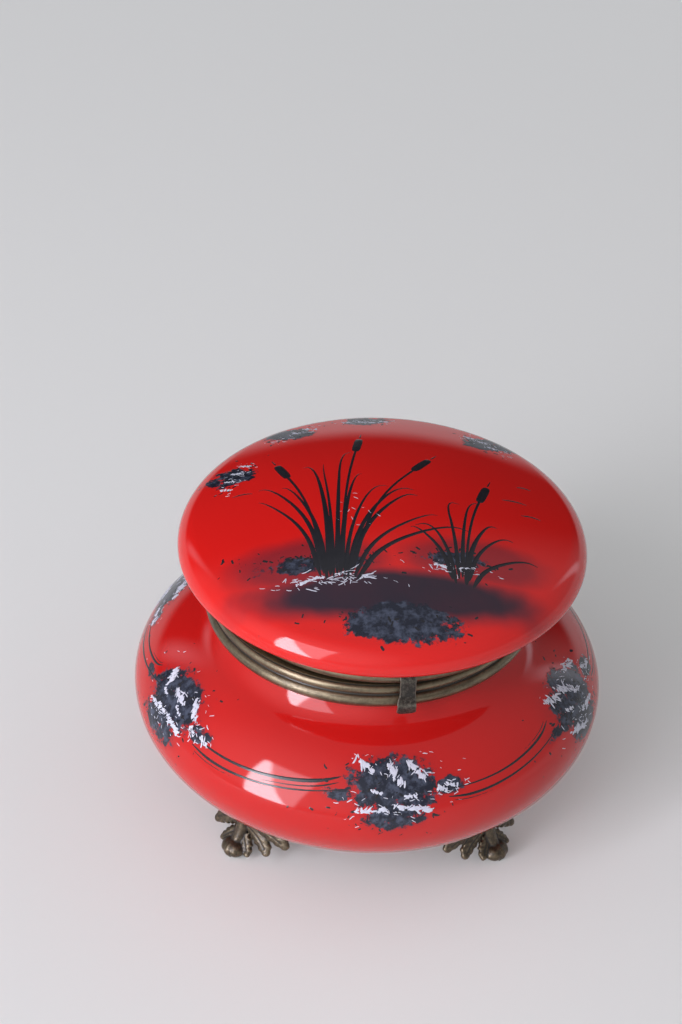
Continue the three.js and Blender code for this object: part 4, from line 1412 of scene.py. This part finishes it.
def melt(name, parts):
    """Joins closed shapes into one casting with soft corners."""
    piece = join(parts)
    piece.name = piece.data.name = name
    remesh = piece.modifiers.new("remesh", "REMESH")
    remesh.mode, remesh.voxel_size = "VOXEL", MELT_VOXEL
    smooth = piece.modifiers.new("smooth", "SMOOTH")
    smooth.factor, smooth.iterations = 0.5, MELT_ROUNDS
    apply_modifiers(piece)
    smooth_all(piece)
    return piece


foot_pattern = melt("foot_pattern", [foot_leaf(), foot_toe(), foot_tab()])
places = vertex_rows(foot_pattern)
places[:, 2] = np.maximum(places[:, 2], 0)  # the sole is filed flat
set_places(foot_pattern, places)
foot_pattern.data.transform(Matrix.Scale(MM, 4))
mark_wear(foot_pattern, rounds=3, gain=0.55)
for i, node in enumerate(("foot_front_right", "foot_back_right", "foot_back_left", "foot_front_left")):
    foot = foot_pattern.copy()
    foot.data = foot_pattern.data.copy()
    foot.name = foot.data.name = node.replace("foot_", "leaf_foot_")
    bpy.context.scene.collection.objects.link(foot)
    foot.data.transform(Matrix.Rotation(math.radians(45 + 90 * i + FOOT_TURN), 4, "Z"))
    finish_piece(foot, (cast_brass,), "base", "cast_brass", node)
bpy.data.objects.remove(foot_pattern)

# %% [markdown]
# ## Bent sheet: the hinge and the tongue
#
# The hinge leaves and the tongue are strips of brass sheet. Each starts as one row of points across that is
# extruded along its side view, row by row, which is also how the metal was bent. Solidify gives the sheet its
# thickness, Bevel breaks its edges and Subdivision Surface rounds the bends.

# %% Bent sheet
EDGE_BREAK = 0.16


def bent_strip(name, side, across):
    """A sheet in millimetres: a row of points across (x), extruded along its side view (y, z)."""
    columns = len(across)
    strip = added(bpy.ops.mesh.primitive_grid_add, x_subdivisions=columns - 1, y_subdivisions=1, size=2)
    strip.name = strip.data.name = name
    set_places(strip, np.column_stack([np.tile(across, 2), np.repeat(side[:2], columns, axis=0)]))
    select_vertices(strip, np.arange(2 * columns) >= columns)
    with edit_mode(everything=False):
        bpy.ops.mesh.select_mode(type="VERT")
        for before, after in zip(side[1:], side[2:]):
            extrude((0, after[0] - before[0], after[1] - before[1]))
        face_outwards()
    return strip


def cut_away(strip, unwanted):
    """Deletes the faces whose centre (x, y, z) is unwanted."""
    with edit_mode():
        bpy.ops.mesh.select_mode(type="FACE")
        bpy.ops.mesh.select_all(action="DESELECT")
    strip.data.polygons.foreach_set("select", [unwanted(*p.center) for p in strip.data.polygons])
    with edit_mode(everything=False):
        bpy.ops.mesh.delete(type="FACE")
        bpy.ops.mesh.select_mode(type="VERT")


def make_sheet(strip, thickness, offset):
    """Gives a strip its thickness. offset 1 puts it all on the outside, and 0 half on each side."""
    solidify = strip.modifiers.new("sheet", "SOLIDIFY")
    solidify.thickness, solidify.offset, solidify.use_even_offset = thickness * MM, offset, True
    bevel = strip.modifiers.new("edges", "BEVEL")
    bevel.width, bevel.segments, bevel.angle_limit = EDGE_BREAK * MM, 3, math.radians(50)
    subdivide = strip.modifiers.new("fine", "SUBSURF")
    subdivide.levels = subdivide.render_levels = 1
    apply_modifiers(strip)
    bpy.ops.object.shade_smooth_by_angle(angle=SMOOTH_ANGLE)


# %% [markdown]
# ## The hinge
#
# The hinge is behind the box. Each leaf follows the curve of its collar, straightens out and is rolled round
# the pin: the bowl's leaf over its top, in two knuckles, and the lid's leaf under it, in one knuckle between
# them. A heel behind the bowl's knuckles stops the open lid. The pin's ends are hammered into low heads.

# %% Hinge
KNUCKLE, PIN, PIN_HEAD = 1.9, 0.8, 1.3
LEAF_START, LEAF_EASE = 2.3, 0.9  # from the pin's level to where a leaf leaves its collar, and over how far
LEAF_HALF, KNUCKLE_PARTING, KNUCKLE_GAP = 9.5, 3.8, 0.15
HEEL_OUTLINE = (  # back and up from the pin
    (0.2, -1.86), (4.70, -0.94), (4.74, 0.22), (2.50, 0.62), (1.1, 0.8), (0.2, -0.6),
)
pin_low, pin_high = box_mm("hinge_pin")
PIN_Y, PIN_Z = (pin_low.y + pin_high.y) / 2, (pin_low.z + pin_high.z) / 2
leaf_radius = bead_centre + LID_BEAD + 0.3 + SHEET / 2


def rolled_leaf(name, end_z, up, centre_x, parting):
    """A leaf from end_z to the pin, and round it. up is 1 for the leaf below the pin, and -1 above it."""
    roll = KNUCKLE - SHEET / 2
    level = PIN_Z - up * LEAF_START
    side = [(leaf_radius, end_z + (level - end_z) * share) for share in (0, 0.08, 0.35, 0.65, 0.92, 1)]
    side += [(leaf_radius, PIN_Z - up * 1.7), (leaf_radius + 0.04, PIN_Z - up * 0.8)]
    turns = np.radians(np.linspace(180, -135, 19))
    side += [(PIN_Y + roll * math.cos(a), PIN_Z + up * roll * math.sin(a)) for a in turns]
    half = [1.9, parting, 5.7, 7.6, LEAF_HALF - 0.4, LEAF_HALF]
    strip = bent_strip(name, side, [-x for x in half[::-1]] + [0] + half)
    in_middle = up < 0
    cut_away(strip, lambda x, y, z: (PIN_Z - z) * up < LEAF_START - 0.01 and (abs(x) < parting) != in_middle)
    x, y, z = vertex_rows(strip).T
    straight = ease(np.clip((LEAF_START - (PIN_Z - z) * up) / LEAF_EASE, 0, 1))
    y = y + (np.sqrt(leaf_radius**2 - (x - centre_x) ** 2) - leaf_radius) * (1 - straight)
    corner = np.clip(np.abs(x) / LEAF_HALF, 0, 1) ** 12 * np.clip(1 - np.abs(z - end_z) / 1.2, 0, 1)
    set_places(strip, np.stack([x, y, z + up * 0.5 * corner], 1) * MM)
    make_sheet(strip, SHEET, 0)
    return strip


def heel(from_x, to_x):
    """A wedge behind a knuckle, for the lid's leaf to come down on."""
    wedge = added(bpy.ops.mesh.primitive_circle_add, vertices=len(HEEL_OUTLINE), fill_type="NGON")
    set_places(wedge, np.array([(from_x, PIN_Y + y, PIN_Z + z) for y, z in HEEL_OUTLINE]) * MM)
    with edit_mode():
        extrude(((to_x - from_x) * MM, 0, 0))
        face_outwards()
        bpy.ops.mesh.bevel(offset=0.2 * MM, segments=3, affect="EDGES")
    bpy.ops.object.shade_smooth_by_angle(angle=SMOOTH_ANGLE)
    return wedge


knuckle_start = KNUCKLE_PARTING + KNUCKLE_GAP
bowl_leaf = rolled_leaf("hinge_leaf_with_heel", box_mm("hinge_leaf_bowl")[0].z, 1, 0.0, knuckle_start)
join([bowl_leaf, heel(knuckle_start, LEAF_HALF), heel(-LEAF_HALF, -knuckle_start)])
lid_leaf = rolled_leaf("hinge_leaf_middle", box_mm("hinge_leaf_lid")[1].z, -1, LID_CENTRE,
                       KNUCKLE_PARTING - KNUCKLE_GAP)

pin_half, head = LEAF_HALF + KNUCKLE_GAP, 0.6
pin_end = [
    (0, pin_half + head),
    *arc((PIN_HEAD * 0.45, pin_half + head * 0.2), (PIN_HEAD * 0.55, head * 0.8), 90, 0, 6),
    (PIN_HEAD, pin_half),
    (PIN, pin_half),
]
hinge_pin = turn("hinge_pin_rod", pin_end + [(r, -h) for r, h in pin_end[::-1]], steps=32)
with edit_mode():
    bpy.ops.transform.rotate(value=math.pi / 2, orient_axis="Y", center_override=(0, 0, 0))
    bpy.ops.transform.translate(value=(0, PIN_Y * MM, PIN_Z * MM))

for piece, body, node in (
    (bowl_leaf, "base", "hinge_leaf_bowl"),
    (lid_leaf, "lid", "hinge_leaf_lid"),
    (hinge_pin, "base", "hinge_pin"),
):
    mark_wear(piece, rounds=2, gain=0.4)
    finish_piece(piece, (strip_brass,), body, "collar_brass", node)

# %% [markdown]
# ## The tongue
#
# The tongue is a strip of springy sheet, soldered to the lid's collar at its top. It passes over the three
# beads and ends in a thumb lip, bent outwards and then down.

# %% Tongue
TONGUE_WIDTH, TONGUE_SHEET = 4.2, 0.7
LIP_WIDTH, LIP_SLIP = 5.0, -0.4
tongue_low, tongue_high = box_mm("clasp_tongue")
TONGUE_X = tongue_high.x - TONGUE_WIDTH / 2
root_y, over_y = tongue_high.y, -(LID_BEAD + bead_centre + 0.35)
root_z, lip_z = tongue_high.z, tongue_low.z
crease_z, throw = lip_z + 2.9, 1.7

lip_y = over_y - throw
tongue_side = [  # (y, z) of the sheet's inner face
    *((root_y, root_z - drop) for drop in (0, 0.8, 1.6)),
    *eased((root_y - 0.3, root_z - 2.6), (0.2, 0.6), (-0.6, -0.6), 4),
    *eased((over_y, root_z - 4.3), (0.35, 0.3), (0, -0.9), 4),
    *((over_y, root_z - drop) for drop in (6.4, 7.4)),
    *eased((over_y, crease_z + 1.7), (0, 0.8), (-0.6, -0.6), 4),
    (lip_y + 0.4, crease_z + 0.25),
    *eased((lip_y, crease_z - 0.1), (0.15, 0.15), (0, -0.3), 3),
    *((lip_y + back, crease_z - drop) for back, drop in ((0.1, 1.2), (0.2, 1.9), (0.32, 2.5))),
    (lip_y + 0.4, lip_z),
]

tongue = bent_strip("spring_tongue", tongue_side, np.linspace(-0.5, 0.5, 11) * TONGUE_WIDTH + TONGUE_X)
x, y, z = vertex_rows(tongue).T
side = (x - TONGUE_X) / (TONGUE_WIDTH / 2)
on_lip = ease(np.clip((crease_z + 1.6 - z) / 0.9, 0, 1))
x = TONGUE_X + side * (TONGUE_WIDTH / 2 + on_lip * (LIP_WIDTH - TONGUE_WIDTH) / 2) + on_lip * LIP_SLIP
z = z + 0.75 * (np.abs(side) ** 5) * np.clip((lip_z + 1.6 - z) / 1.6, 0, 1) ** 1.5  # rounded lower corners
y = y - 0.10 * side**2 * on_lip  # the lip is very slightly dished
set_places(tongue, np.stack([x, y, z], 1) * MM)
make_sheet(tongue, TONGUE_SHEET, 1.0)
mark_wear(tongue, rounds=2, gain=0.5)
finish_piece(tongue, (tongue_brass,), "clasp", "collar_brass", "clasp_tongue")
print(f"tongue {TONGUE_WIDTH} mm wide, from {root_z:.1f} mm down to {lip_z:.1f} mm")

# %% [markdown]
# ## The last lines
#
# The plaster solids of the model are given a plain plaster finish.

# %% Finish
plaster = paint_finish("plaster", (0.72, 0.68, 0.60, 1), (0.60, 0.56, 0.49, 1), 0.85, 2.0)
for node in ("bowl_neck_plaster", "foot_ring_plaster", "lid_plaster"):
    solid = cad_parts[node]
    solid.data.materials.clear()
    solid.data.materials.append(plaster)
